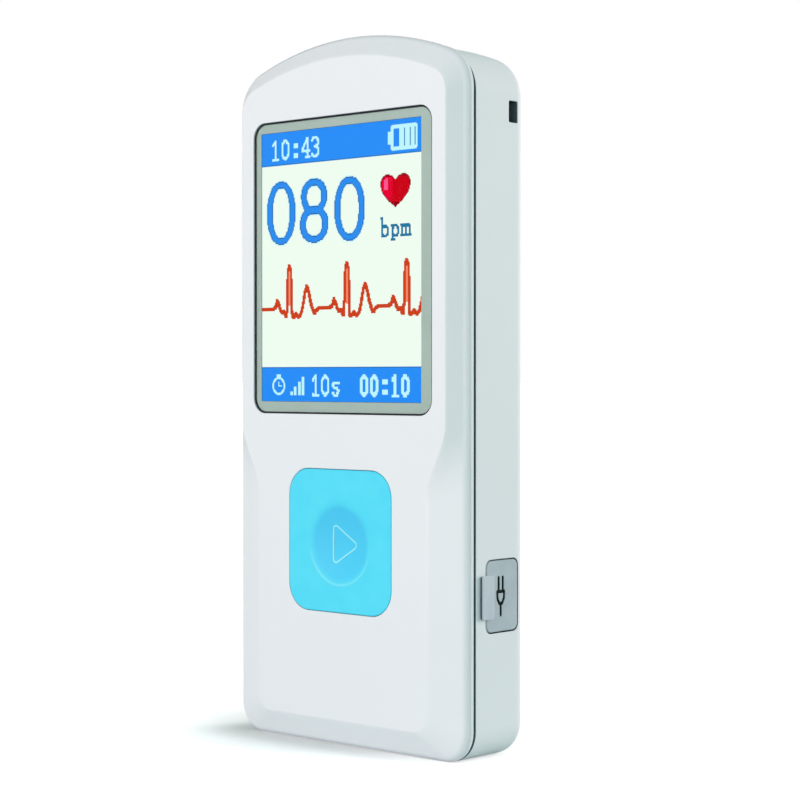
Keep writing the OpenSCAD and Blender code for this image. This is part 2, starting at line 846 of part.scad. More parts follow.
// Push-on rings that hold the studs
module electrode_clips() {
    color("#b9bec2") for (p = contacts) difference() {
        rod(p, clip_r, back_in_y - clip_t, back_in_y);
        rod(p, stud_r, back_in_y - clip_t - over, back_in_y + over);
    }
}

// Bent leaves that carry the signal from each stud to the board: a foot, an arch and a crest at the stud
module contact_springs() {
    foot_y = board_back_y + spring_t / 2;
    crest = [stud_end_y - spring_t / 2 - spring_crest_r, -0.2];
    arch_z = 1.2;
    path = concat(
        [[foot_y, -2.6]],
        arc([foot_y + spring_bend, arch_z], spring_bend, 180, 90, 5),
        arc([foot_y + 2.6, arch_z], spring_bend, 90, -20, 7),
        arc(crest, spring_crest_r, 40, -60, 6)
    );
    color("#d9b45a") for (p = contacts) translate([p.x, 0, p.y])
        side_slab(-spring_w / 2, spring_w / 2) polygon(band(path, spring_t));
}

// ---- Fasteners ----

// A pan-head screw along Y with its head at the back and a cross recess
module pan_screw(at, shank_r, len, top_r, top_h, seat_y) {
    slot = [top_r * 1.2, top_h, top_r * 0.28];
    difference() {
        union() {
            rod(at, shank_r, seat_y - len, seat_y + 0.2);
            rod(at, top_r, seat_y, seat_y + top_h);
        }
        for (turn = [0, 90]) translate([at.x, seat_y + top_h * 0.4, at.y]) rotate([0, turn, 0])
            translate([-slot.x / 2, 0, -slot.z / 2]) cube(slot);
    }
}

module housing_screws() {
    color("#b4b9bd") for (p = case_screws) pan_screw(p, screw_r, screw_len, head_r, head_h, head_seat_y);
}

module board_screws() {
    color("#b4b9bd") for (p = board_screw_at)
        pan_screw(p, board_screw_r, board_screw_len, 1.5, 0.9, board_back_y);
}

front_shell();
rear_shell();
display_lens();
lens_mask();
lens_tape();
display_gasket();
lcd_panel();
lcd_tray();
lcd_ribbon();
ribbon_socket();
lcd_holder();
main_board();
processor_chip();
amplifier_chip();
memory_chip();
wireless_module();
crystal();
small_parts();
start_button();
switch_base();
switch_frame();
switch_plunger();
usb_socket();
usb_tongue();
port_cover();
port_strap();
battery_cell();
battery_board();
battery_pad();
lead_positive();
lead_negative();
electrode_upper();
electrode_left();
electrode_right();
electrode_clips();
contact_springs();
housing_screws();
board_screws();
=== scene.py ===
from math import atan2, cos, degrees, hypot, pi, radians, sin, sqrt, tan

import bmesh
import bpy
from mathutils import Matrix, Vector


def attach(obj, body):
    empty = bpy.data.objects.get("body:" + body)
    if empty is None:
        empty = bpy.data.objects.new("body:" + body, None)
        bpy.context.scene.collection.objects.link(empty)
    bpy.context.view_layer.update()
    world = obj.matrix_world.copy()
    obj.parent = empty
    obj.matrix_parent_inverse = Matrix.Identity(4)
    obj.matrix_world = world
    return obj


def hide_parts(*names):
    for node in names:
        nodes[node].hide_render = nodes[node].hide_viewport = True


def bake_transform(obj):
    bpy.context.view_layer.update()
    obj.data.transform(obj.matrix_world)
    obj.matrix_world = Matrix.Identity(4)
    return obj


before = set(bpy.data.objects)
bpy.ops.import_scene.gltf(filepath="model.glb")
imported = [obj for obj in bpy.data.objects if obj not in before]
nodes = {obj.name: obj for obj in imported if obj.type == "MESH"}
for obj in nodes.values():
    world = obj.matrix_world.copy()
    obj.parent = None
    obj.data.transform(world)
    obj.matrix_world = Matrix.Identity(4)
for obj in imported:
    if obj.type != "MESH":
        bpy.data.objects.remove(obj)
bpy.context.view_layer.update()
mm = 0.001  # the lists below are in millimetres, in the row frame
print("frame loaded:", len(nodes), "solids")

# Outlines that the case shares with the solids
caseShape = {"width": 45, "height": 101.6, "corner": 4.5, "shoulder": 6, "arch": 52, "rearDrop": 0.5}
panelShape = {"topWidth": 40, "lowWidth": 33.1, "corner": 2.2, "shoulder": 3.6, "topGap": 3, "footGap": 3.9,
              "waistLow": 36, "waistHigh": 46.5}
levels = {"front": -7.5, "frontInside": -6.1, "frontRim": -4.35, "rearRim": -3.95, "backInside": 5.9,
          "shellBack": 7.3, "back": 7.5}


class Wire:
    # wraps an output socket, so that maths on it adds Math nodes
    def __init__(self, tree, socket=None):
        self.tree, self.socket = tree, socket

    def node(self, kind, settings=None, inputs=None, output=0):
        made = self.tree.nodes.new("ShaderNode" + kind)
        for name, value in (settings or {}).items():
            if name == "stops":
                for i, (place, colour) in enumerate(value):
                    stop = made.color_ramp.elements[i] if i < 2 else made.color_ramp.elements.new(place)
                    stop.position, stop.color = place, colour
            else:
                setattr(made, name, value)
        for name, value in (inputs or {}).items():
            if isinstance(value, Wire):
                self.tree.links.new(value.socket, made.inputs[name])
            else:
                made.inputs[name].default_value = value
        return Wire(self.tree, made.outputs[output])

    def maths(self, operation, *values):
        return self.node("Math", {"operation": operation}, dict(enumerate(values)))

    def __add__(self, other):
        return self.maths("ADD", self, other)

    def __sub__(self, other):
        return self.maths("SUBTRACT", self, other)

    def __rsub__(self, other):
        return self.maths("SUBTRACT", other, self)

    def __mul__(self, other):
        return self.maths("MULTIPLY", self, other)

    def __truediv__(self, other):
        return self.maths("DIVIDE", self, other)

    def __rtruediv__(self, other):
        return self.maths("DIVIDE", other, self)

    def __pow__(self, other):
        return self.maths("POWER", self, other)

    def __abs__(self):
        return self.maths("ABSOLUTE", self)

    __radd__, __rmul__ = __add__, __mul__

    def most(self, other):
        return self.maths("MAXIMUM", self, other)

    def fraction(self):
        return self.maths("FRACT", self)

    def wave(self):
        return self.maths("SINE", self)

    def above(self, limit):
        return self.maths("GREATER_THAN", self, limit)

    def below(self, limit):
        return self.maths("LESS_THAN", self, limit)

    def over(self, low, high):  # 0 below low, 1 above high, smooth between
        return self.node("MapRange", {"interpolation_type": "SMOOTHSTEP"},
                         {"Value": self, "From Min": low, "From Max": high})

    def paint(self, bare, full):  # the colour `bare` where the value is 0 and `full` where it is 1
        return self.node("Mix", {"data_type": "RGBA"}, {0: self, 6: bare, 7: full}, 2)

    def stretched(self, x, y, z):
        return self.node("VectorMath", {"operation": "MULTIPLY"}, {0: self, 1: (x, y, z)})

    def axes(self):
        return [self.node("SeparateXYZ", None, {0: self}, axis) for axis in "XYZ"]

    def noise(self, scale, detail=2.0, rough=0.5):
        return self.node("TexNoise", None,
                         {"Vector": self, "Scale": scale, "Detail": detail, "Roughness": rough})

    def cells(self, scale):
        return self.node("TexVoronoi", None, {"Vector": self, "Scale": scale}, "Distance")

    def bump(self, depth):  # a height of 0 to 1 becomes a relief of `depth` millimetres
        return self.node("Bump", None, {"Height": self, "Strength": 1.0, "Distance": depth * mm})


def srgb(red, green, blue):
    channels = [c / 255 for c in (red, green, blue)]
    return tuple(c / 12.92 if c <= 0.04045 else ((c + 0.055) / 1.055) ** 2.4 for c in channels) + (1.0,)


def shaded(colour, factor):
    return tuple(min(1.0, c * factor) for c in colour[:3]) + (1.0,)


def newFinish(name):
    made = bpy.data.materials.new(name)
    made.use_nodes = True
    shader = made.node_tree.nodes["Principled BSDF"]
    start = Wire(made.node_tree)
    place = start.node("VectorMath", {"operation": "SCALE"},
                       {0: start.node("TexCoord", output="Object"), "Scale": 1000.0})  # millimetres
    return made, shader, place


def feed(shader, values):
    for name, value in values.items():
        if isinstance(value, Wire):
            value.tree.links.new(value.socket, shader.inputs[name])
        else:
            shader.inputs[name].default_value = value


# Moulded plastic: a slow drift of tone, a fine spark-eroded grain and a few polished flecks
def mouldedFinish(name, colour, drift=0.03, grain=4.0, depth=0.012, rough=0.4, spread=0.08):
    made, shader, place = newFinish(name)
    slow, fine = place.noise(0.08, 3.0), place.noise(grain, 3.0, 0.6)
    flecks = place.cells(grain * 1.7)
    feed(shader, {
        "Base Color": (slow * 0.7 + fine * 0.3).over(0.3, 0.7).paint(shaded(colour, 1 - drift), colour),
        "Roughness": rough - spread / 2 + fine * spread,
        "Normal": (fine * 0.7 + flecks * 0.3).bump(depth)})
    return made


# Sheet metal: fine lines along one axis, with small dark pits between them
def drawnMetal(name, colour, lines=(30.0, 30.0, 1.2), depth=0.006, rough=0.3, spread=0.16, dark=0.82):
    made, shader, place = newFinish(name)
    streak = place.stretched(*lines).noise(1.0, 3.0, 0.7)
    cloud = place.noise(0.35, 3.0)
    feed(shader, {
        "Base Color": (streak * 0.6 + cloud * 0.4).over(0.25, 0.75).paint(shaded(colour, dark), colour),
        "Metallic": 1.0,
        "Roughness": rough - spread / 2 + streak * spread,
        "Normal": streak.bump(depth)})
    return made


def arc(centre, radius, start, end, steps):
    turns = [radians(start + (end - start) * i / steps) for i in range(steps + 1)]
    return [(centre[0] + radius * cos(a), centre[1] + radius * sin(a)) for a in turns]


def mixed(a, b, t):
    return a * (1 - t) + b * t


def ease(t):
    return t * t * (3 - 2 * t)


def mirrored(half):
    return half + [(-x, z) for x, z in reversed(half)]


# A ring round an arched outline: bottom corner, waist, shoulder, arch
def archedRing(low, high, base, corner, shoulder, arch, top):
    middle = top - arch
    shoulderZ = middle + sqrt((arch - shoulder) ** 2 - (high - shoulder) ** 2)
    tangent = degrees(atan2(shoulderZ - middle, high - shoulder))
    waist = [(mixed(low, high, ease(i / 22)), mixed(panelShape["waistLow"], panelShape["waistHigh"], i / 22))
             for i in range(23)]
    half = arc((low - corner, base + corner), corner, -90, 0, 12) + waist
    half += arc((high - shoulder, shoulderZ), shoulder, 0, tangent, 14)
    half += arc((0, middle), arch, tangent, 90, 26)[1:]
    return half[:-1] + [(0.0, top)] + [(-x, z) for x, z in reversed(half[:-1])]


def caseRing(inset=0.0, drop=0.0):
    s = caseShape
    return archedRing(s["width"] / 2 - inset, s["width"] / 2 - inset, inset, s["corner"] - inset,
                      s["shoulder"] - inset, s["arch"] - inset, s["height"] - drop - inset)


def rearRing(inset=0.0):
    return caseRing(inset, caseShape["rearDrop"])


def panelRing(inset=0.0):
    s = panelShape
    return archedRing(s["lowWidth"] / 2 - inset, s["topWidth"] / 2 - inset, s["footGap"] + inset,
                      s["corner"] - inset, s["shoulder"] - inset, caseShape["arch"] - s["topGap"] - inset,
                      caseShape["height"] - s["topGap"] - inset)


def roundRect(width, height, radius, grow=0.0, at=(0.0, 0.0), steps=8):
    w, h, r = width / 2 + grow, height / 2 + grow, radius + grow
    half = arc((w - r, r - h), r, -90, 0, steps) + arc((w - r, h - r), r, 0, 90, steps)
    return [(at[0] + x, at[1] + z) for x, z in mirrored(half)]


def circle(at, radius, steps=40):
    return arc(at, radius, -90, 270, steps)[:-1]


# How far the rings of a rounded edge still are from its two faces, over a quarter turn
def quarter(steps):
    turns = [radians(90 * i / steps) for i in range(steps + 1)]
    return [(1 - sin(a), 1 - cos(a)) for a in turns]


def addObject(name, data):
    made = bpy.data.objects.new(name, data)
    bpy.context.scene.collection.objects.link(made)
    return made


def closedMesh(name, points, faces):
    mesh = bpy.data.meshes.new(name)
    mesh.from_pydata(points, [], faces)
    work = bmesh.new()
    work.from_mesh(mesh)
    bmesh.ops.recalc_face_normals(work, faces=work.faces)
    work.to_mesh(mesh)
    work.free()
    return mesh


# A closed piece through rings of points that stand at levels along one axis; a ring is a list of pairs
def solid(name, rings, axis="y"):
    put = {"x": lambda u, v, level: (level, u, v), "y": lambda u, v, level: (u, level, v),
           "z": lambda u, v, level: (u, v, level)}[axis]
    size = len(rings[0][1])
    points = [put(u * mm, v * mm, level * mm) for level, ring in rings for u, v in ring]
    faces = [[k * size + i, k * size + (i + 1) % size, (k + 1) * size + (i + 1) % size, (k + 1) * size + i]
             for k in range(len(rings) - 1) for i in range(size)]
    faces += [list(range(size)), list(range((len(rings) - 1) * size, len(rings) * size))]
    return addObject(name, closedMesh(name, points, faces))


def block(name, low, high):
    ring = [(low[0], low[2]), (high[0], low[2]), (high[0], high[2]), (low[0], high[2])]
    return solid(name, [(low[1], ring), (high[1], ring)])


# A prism whose edges are rounded at the start, the end or both; outline(grow) gives its ring
def softPrism(name, outline, start, end, startSoft=0.0, endSoft=0.0, axis="y", steps=4):
    rounding = quarter(steps)
    first = [(start + startSoft * rise, outline(-startSoft * fall)) for fall, rise in rounding]
    last = [(end - endSoft * rise, outline(-endSoft * fall)) for fall, rise in reversed(rounding)]
    rings = (first if startSoft else [(start, outline(0))]) + (last if endSoft else [(end, outline(0))])
    return solid(name, rings, axis)


# A cutter that flares at a surface, so that the opening it makes has a rounded lip
def flaredCutter(name, outline, bottom, surface, lip, axis="y", steps=4):
    side = 1 if surface > bottom else -1
    rings = [(bottom, outline(0.0))]
    rings += [(surface - side * lip * fall, outline(lip * rise)) for fall, rise in quarter(steps)]
    rings.append((surface + side * 1.0, outline(lip)))
    return solid(name, rings, axis)


def rod(name, at, radius, low, high, axis="y"):
    return solid(name, [(low, circle(at, radius)), (high, circle(at, radius))], axis)


def carve(body, tools, operation="DIFFERENCE"):
    for tool in tools:
        step = body.modifiers.new(operation.lower(), "BOOLEAN")
        step.operation, step.solver, step.object = operation, "MANIFOLD", tool
    shaped = body.evaluated_get(bpy.context.evaluated_depsgraph_get())
    mesh = bpy.data.meshes.new_from_object(shaped)
    body.modifiers.clear()
    body.data = mesh
    for tool in tools:
        bpy.data.objects.remove(tool)
    return body


# Gives the faces that pass a test another finish; the test gets a face's middle and its normal
def paintFaces(made, index, test):
    for face in made.data.polygons:
        if test(face.center / mm, face.normal):
            face.material_index = index


# Names a made shape, shades it, dresses it and ties it to its body
def settle(made, name, finishes, body, stands=(), sharp=32.0):
    made.name = made.data.name = name
    mesh = made.data
    mesh.materials.clear()
    for finish in finishes if isinstance(finishes, list) else [finishes]:
        mesh.materials.append(finish)
    mesh.polygons.foreach_set("use_smooth", [True] * len(mesh.polygons))
    mesh.set_sharp_from_angle(angle=radians(sharp))
    even = made.modifiers.new("even normals", "WEIGHTED_NORMAL")
    even.keep_sharp = True
    if body:
        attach(made, body)
    if stands:
        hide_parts(*stands)
    return made


# Camera in millimetres and degrees, then the room and its two lamps
view = {"lens": 90.96, "at": (199.68, -215.15, 53.09), "towards": (-0.6711, 0.7414), "down": 0.663}
studio = {"ambient": 0.885, "dimZenith": 0.45, "dimLeft": 0.6, "dimReflection": 0.7,
          "skyTint": (0.757, 1.0, 0.952), "floorGlow": 0.14, "contactShadow": 0.32,
          "floorBounce": (0.646, 0.76, 0.752), "floorReach": 12.0, "clearX": -11, "clearY": 5,
          "clearRound": (14, 47), "clearAhead": (9.5, 15), "footprint": (20, 5), "contactReach": (1.5, 9)}
softboxes = {  # bearing and height in degrees, distance and size in metres, level on what faces it, tint
    "frontSoftbox": (-18, 10, 1.8, 0.9, 0.45, (1.30, 1.0, 1.05)),
    "backSoftbox": (155, 12, 1.8, 0.8, 0.50, (1.32, 0.98, 1.005)),
}


def aim(made, at, direction):
    made.location = at
    made.rotation_euler = Vector(direction).to_track_quat("-Z", "Y").to_euler()


def makeCamera():
    lens = bpy.data.cameras.new("photoCamera")
    lens.lens, lens.sensor_width = view["lens"], 36.0
    lens.clip_start, lens.clip_end = 0.01, 50.0
    made = addObject("photoCamera", lens)
    flat = cos(radians(view["down"]))
    x, y = view["towards"]
    aim(made, [c * mm for c in view["at"]], (x * flat, y * flat, -sin(radians(view["down"]))))
    bpy.context.scene.camera = made


def makeLights():
    for name, (bearing, height, distance, size, level, tint) in softboxes.items():
        lamp = bpy.data.lights.new(name, "AREA")
        lamp.shape, lamp.size, lamp.color = "SQUARE", size, tint
        lamp.energy = level * pi ** 2 * distance ** 2
        made = addObject(name, lamp)
        made.visible_glossy = name == "frontSoftbox"  # the side shows no highlight
        turn, lift = radians(bearing), radians(height)
        towards = Vector((sin(turn) * cos(lift), -cos(turn) * cos(lift), sin(lift)))
        aim(made, towards * distance + Vector((0, 0, 0.05)), -towards)
    world = bpy.data.worlds.new("studio")
    world.use_nodes = True
    bpy.context.scene.world = world
    rays = Wire(world.node_tree)
    camera, glossy, through = [rays.node("LightPath", output=ray) for ray in
                               ("Is Camera Ray", "Is Glossy Ray", "Is Transmission Ray")]
    way = rays.node("TexCoord", output="Generated")
    right, _, up = way.axes()
    height, left = up.over(0.0, 0.9), (right * -1.0).over(0.3, 0.9)
    behind = way.node("VectorMath", {"operation": "DOT_PRODUCT"}, {0: way, 1: (*view["towards"], 0.0)},
                      "Value")
    # reflections see a brighter horizon, apart from the wall behind the object and the one to its right
    walls = (behind.over(0.3, 0.8) * up.over(0.0, 0.16)).most(right.over(0.74, 0.95))
    reflected = glossy.most(through) * (1.0 - height * studio["dimReflection"]) * (1.0 - walls)
    lit = (1.0 - height * studio["dimZenith"]) * studio["ambient"] * (1.0 - left * studio["dimLeft"])
    shown = camera.most(reflected)
    white = (1.0, 1.0, 1.0, 1.0)
    feed(world.node_tree.nodes["Background"], {
        "Color": shown.above(0.0).paint(shaded(studio["skyTint"], 1.0), white), "Strength": shown.most(lit)})


def makeFloor():
    made, shader, place = newFinish("studioFloor")
    bounce = studio["floorBounce"]
    feed(shader, {"Base Color": place.noise(0.02, 3.0).paint(shaded(bounce, 0.99), shaded(bounce, 1.0)),
                  "Roughness": 0.9, "Specular IOR Level": 0.0})
    tree = made.node_tree
    seen = place.node("LightPath", output="Is Camera Ray")
    x, y, _ = place.axes()
    # away from the object the floor runs into white
    away = ((x - studio["clearX"]) ** 2 + ((y - studio["clearY"]) * 1.2) ** 2) ** 0.5
    ahead = ((x - caseShape["width"] / 2) * 0.15 - y).over(*studio["clearAhead"])
    clear = away.over(*studio["clearRound"]).most(ahead)
    # painted contact shadow: the floor's diffuse colour darkens near the object's footprint
    outX, outY = [(abs(value) - reach).most(0.0) for value, reach in zip((x, y), studio["footprint"])]
    contactShade = 1 - ((outX * outX + outY * outY) ** 0.5).over(*studio["contactReach"])
    white, black = (1, 1, 1, 1), (0, 0, 0, 1)
    dim = place.node("BsdfDiffuse", None, {"Color": (contactShade * studio["contactShadow"]).paint(white, black)})
    glow = place.node("Emission", None, {"Color": white,
                                         "Strength": studio["floorGlow"] + clear * (1 - studio["floorGlow"])})
    both = place.node("AddShader", None, {0: dim, 1: glow})
    shown = place.node("MixShader", None, {0: seen, 1: Wire(tree, shader.outputs[0]), 2: both})
    tree.links.new(shown.socket, tree.nodes["Material Output"].inputs["Surface"])
    mesh = bpy.data.meshes.new("studioFloor")
    r = studio["floorReach"]
    mesh.from_pydata([(-r, -r, 0), (r, -r, 0), (r, r, 0), (-r, r, 0)], [], [(0, 1, 2, 3)])
    mesh.materials.append(made)
    plane = addObject("studioFloor", mesh)


makeCamera()
makeLights()
makeFloor()
bpy.context.scene.view_settings.view_transform = "Standard"
print("studio ready")


# Places on the front and the sides
window = {"width": 34.6, "height": 42.2, "radius": 2.0, "z": 69.05, "face": -7.4, "thick": 0.28}
picture = {"at": (-0.47, 69.15), "pitch": 0.17875, "columns": 176, "rows": 220, "face": -7.03}
windowHole = {"width": 32.6, "height": 40.5, "radius": 0.3}
button = {"width": 20.0, "height": 20.4, "radius": 3.8, "z": 29.6, "flange": 1.2, "flangeY": -6.05,
          "flangeThick": 0.8, "dishZ": 29.2, "dishRadius": 6.0, "dishDepth": 0.7, "soft": 0.15}
port = {"y": 1.7, "z": 22.75, "width": 6.8, "height": 9.9, "radius": 1.0, "gap": 0.16, "lip": 0.1,
        "inner": 21.3, "side": 22.5, "floor": 20.0, "strapY": 4.1}
eye = {"x": 19.1, "y": 4.1, "z": 89.9, "width": 1.9, "height": 3.0, "lip": 0.12, "wall": 1.2}
pictureLeft = picture["at"][0] - picture["pitch"] * picture["columns"] / 2
pictureTop = picture["at"][1] + picture["pitch"] * picture["rows"] / 2


# Plain plastics, metals and foam
shellTone = srgb(240, 242, 246)
shellWhite = mouldedFinish("satinWhiteShell", shellTone, drift=0.015, grain=5.0, depth=0.006, rough=0.36,
                           spread=0.06)
# painted shade: a dark tone for the hidden faces in the parting groove and on the tongue
partingShade = mouldedFinish("partingShade", srgb(92, 104, 110), drift=0.2, grain=5.0, depth=0.01, rough=0.7)
markBlue = mouldedFinish("paleBlueMark", srgb(150, 242, 255), drift=0.02, grain=6.0, depth=0.003, rough=0.42)
foamBlack = mouldedFinish("blackFoam", srgb(30, 32, 35), drift=0.4, grain=2.2, depth=0.08, rough=0.9)
trayWhite = mouldedFinish("trayPlastic", srgb(236, 236, 232), drift=0.05, rough=0.5)
ivoryPlastic = mouldedFinish("connectorPlastic", srgb(232, 226, 208), drift=0.06, rough=0.5)
blackPlastic = mouldedFinish("blackMoulding", srgb(40, 42, 45), drift=0.25, grain=3.0, depth=0.02, rough=0.5)
sheetTin = drawnMetal("tinnedSheet", srgb(214, 217, 220), lines=(1.5, 12.0, 12.0))
springSteel = drawnMetal("springSteel", srgb(186, 190, 194), lines=(12.0, 12.0, 1.0), rough=0.36)
screwSteel = drawnMetal("nickelScrew", srgb(200, 203, 207), lines=(6.0, 20.0, 6.0), rough=0.26)
giltMetal = drawnMetal("giltContact", srgb(226, 190, 102), lines=(8.0, 8.0, 2.0), rough=0.28)
redSleeve = mouldedFinish("redSleeve", srgb(196, 48, 40), drift=0.12, grain=8.0, depth=0.01, rough=0.42)
blackSleeve = mouldedFinish("blackSleeve", srgb(34, 36, 38), drift=0.2, grain=8.0, depth=0.01, rough=0.42)


# Steel pads, brushed across, with faint skin marks
def makeElectrodeSteel():
    made, shader, place = newFinish("brushedElectrode")
    streak = place.stretched(0.8, 20.0, 26.0).noise(1.0, 3.0, 0.75)
    marks = place.noise(0.25, 4.0)
    tone = (streak * 0.8 + marks * 0.2).over(0.25, 0.75)
    feed(shader, {
        "Base Color": tone.paint(srgb(204, 205, 207), srgb(226, 226, 228)),
        "Metallic": 1.0, "Roughness": 0.28 + streak * 0.12 + marks * 0.03,
        "Normal": streak.bump(0.008)})
    return made


# Walls of the openings: painted shade, near black, with painted light on the rear wall of the lanyard eye
def makeOpeningShade():
    made, shader, place = newFinish("openingShade")
    _, y, z = place.axes()
    # painted light: the tone lightens towards the far wall of the lanyard eye
    rear = (y - eye["y"]).over(0.8, 1.0) * z.above(80.0)
    fine = place.noise(5.0, 3.0, 0.6)
    tone = fine.paint(srgb(20, 30, 34), srgb(26, 36, 40))
    feed(shader, {"Base Color": rear.paint(tone, srgb(112, 122, 134)), "Roughness": 0.5 + fine * 0.2,
                  "Normal": fine.bump(0.01)})
    return made


# Printed border behind the window: grey-green ink with a fine pearl grain
def makeBorderInk():
    made, shader, place = newFinish("borderInk")
    pearl, slow = place.cells(9.0), place.noise(0.12, 2.0)
    tone = (pearl * 0.6 + slow * 0.5).over(0.2, 0.8)
    feed(shader, {"Base Color": tone.paint(srgb(158, 176, 169), srgb(170, 188, 181)),
                  "Metallic": 0.15, "Roughness": 0.42 + pearl * 0.12, "Normal": pearl.bump(0.004)})
    return made


# Clear window: a coated acrylic sheet that reflects by its angle and shows the display through it
def makeWindowClear():
    made, shader, place = newFinish("clearWindow")
    smear = place.noise(0.2, 3.0)
    feed(shader, {"Base Color": smear.paint(srgb(226, 240, 238), srgb(236, 246, 244)), "Metallic": 1.0,
                  "Roughness": 0.04 + smear * 0.05, "Normal": smear.bump(0.004)})
    tree = made.node_tree
    facing = place.node("LayerWeight", None, {"Blend": 0.5}, "Facing")
    gloss = (facing ** 5 * 0.9 + 0.006) * (1 - place.node("NewGeometry", output="Backfacing"))
    clear = place.node("BsdfTransparent", None, {"Color": (0.985, 0.995, 0.99, 1.0)})
    both = place.node("MixShader", None, {0: gloss, 1: clear, 2: Wire(tree, shader.outputs[0])})
    tree.links.new(both.socket, tree.nodes["Material Output"].inputs["Surface"])
    return made


# Display glass round the lit picture: dark, with a bluish sheen
def makeDisplayGlass():
    made, shader, place = newFinish("displayGlass")
    haze = place.noise(0.3, 3.0)
    feed(shader, {"Base Color": haze.paint(srgb(34, 40, 44), srgb(52, 60, 64)),
                  "Roughness": 0.12 + haze * 0.1, "Normal": haze.bump(0.003)})
    return made


# Lit dots of one colour, with the dark grid between the dots
def litDots(name, colour):
    made, shader, place = newFinish(name)
    x, _, z = place.axes()
    places = (x - pictureLeft) / picture["pitch"], (z - pictureTop) / picture["pitch"]
    across, up = [abs(value.fraction() - 0.5).over(0.40, 0.49) for value in places]
    grid = across.most(up)
    drift = place.noise(0.06, 2.0)
    feed(shader, {"Base Color": shaded(colour, 0.01), "Roughness": 0.22 + drift * 0.06,
                  "Specular IOR Level": 0.0,
                  "Emission Color": (grid * 0.06 + drift * 0.02).paint(colour, shaded(colour, 0.4)),
                  "Emission Strength": 1.0})
    return made


electrodeSteel = makeElectrodeSteel()
openingShade = makeOpeningShade()
borderInk = makeBorderInk()
windowClear = makeWindowClear()
displayGlass = makeDisplayGlass()


# Solder mask over copper traces and ground, with plated vias
def makeCircuitBoard():
    made, shader, place = newFinish("circuitBoard")
    x = place.axes()[0]
    slope = place.noise(0.12, 1.0)
    lanes = ((x * 0.9 + slope * 9.0) * 2.4).wave().over(0.82, 0.9)
    vias = place.stretched(1.0, 0.0, 1.0).cells(0.55)
    ring = vias.below(0.16) - vias.below(0.07)
    fine = place.noise(6.0, 2.0)
    green = lanes.paint(srgb(22, 92, 56), srgb(40, 124, 76))
    feed(shader, {"Base Color": ring.paint(green, srgb(206, 196, 150)), "Metallic": ring * 0.8,
                  "Roughness": 0.34 + fine * 0.08, "Normal": (lanes + ring * 0.6).bump(0.03)})
    return made


# Amber film with copper strips under it
def makeRibbonFilm():
    made, shader, place = newFinish("amberFilm")
    x = place.axes()[0]
    strip = abs((x * 1.6).fraction() - 0.5).over(0.2, 0.26)
    fine = place.noise(3.0, 3.0)
    feed(shader, {"Base Color": strip.paint(srgb(206, 130, 52), srgb(168, 92, 28)),
                  "Roughness": 0.3 + fine * 0.1, "Normal": strip.bump(0.02)})
    return made


# Epoxy package: ground black face, tinned leads where the part is thin and low
def makeChipFinish(name, leadDepth, colour=(38, 40, 43)):
    made, shader, place = newFinish(name)
    y = place.axes()[1]
    lead = (y * -1.0).over(-leadDepth - 0.02, -leadDepth + 0.02)
    fine = place.noise(7.0, 3.0, 0.7)
    face = fine.paint(srgb(*colour), shaded(srgb(*colour), 1.5))
    feed(shader, {"Base Color": lead.paint(face, srgb(206, 209, 212)), "Metallic": lead * 0.9,
                  "Roughness": 0.6 - lead * 0.3, "Normal": fine.bump(0.012)})
    return made


# Ceramic chips: brown bodies with tinned ends
def makeSmallParts():
    made, shader, place = newFinish("ceramicParts")
    x = place.axes()[0]
    fine = place.noise(5.0, 3.0)
    end = abs(((x + 18.0) / 1.8).fraction() - 0.5).over(0.16, 0.2)
    feed(shader, {"Base Color": end.paint(srgb(176, 142, 104), srgb(210, 212, 214)), "Metallic": end * 0.8,
                  "Roughness": 0.5 - end * 0.15, "Normal": fine.bump(0.02)})
    return made


# Laminated pouch: matt silver foil with a light crease pattern
def makePouchFoil():
    made, shader, place = newFinish("pouchFoil")
    creases, fine = place.cells(0.35), place.noise(2.5, 4.0, 0.65)
    feed(shader, {"Base Color": fine.paint(srgb(176, 180, 184), srgb(206, 209, 212)), "Metallic": 0.85,
                  "Roughness": 0.34 + fine * 0.16, "Normal": (creases * 0.6 + fine * 0.4).bump(0.06)})
    return made


# Yellow polyimide tape: woven crosswise lines under a gloss coat
def makeCellTape():
    made, shader, place = newFinish("yellowTape")
    x, _, z = place.axes()
    weave = (x * 6.0).wave() * (z * 6.0).wave()
    fine = place.noise(1.5, 3.0)
    feed(shader, {"Base Color": fine.paint(srgb(206, 158, 38), srgb(228, 184, 62)),
                  "Roughness": 0.32 + fine * 0.12, "Normal": (weave * 0.3 + fine * 0.7).bump(0.02)})
    return made


carried = {
    "lens_mask": borderInk, "display_gasket": foamBlack, "lcd_tray": trayWhite,
    "lcd_ribbon": makeRibbonFilm(), "ribbon_socket": ivoryPlastic, "lcd_holder": blackPlastic,
    "main_board": makeCircuitBoard(), "processor_chip": makeChipFinish("processorPackage", 0.08),
    "amplifier_chip": makeChipFinish("amplifierPackage", 0.08),
    "memory_chip": makeChipFinish("memoryPackage", 0.08), "wireless_module": sheetTin, "crystal": sheetTin,
    "small_parts": makeSmallParts(), "switch_base": blackPlastic, "switch_frame": sheetTin,
    "switch_plunger": blackPlastic, "usb_socket": sheetTin,
    "usb_tongue": makeChipFinish("socketTongue", -1.19), "battery_cell": makePouchFoil(),
    "battery_board": makeCellTape(), "battery_pad": foamBlack, "lead_positive": redSleeve,
    "lead_negative": blackSleeve, "electrode_clips": springSteel, "contact_springs": giltMetal,
    "board_screws": screwSteel,
}
for nodeName, finish in carried.items():
    for holder in nodes[nodeName].material_slots:
        holder.material = finish
print("finishes on", len(carried), "carried nodes")


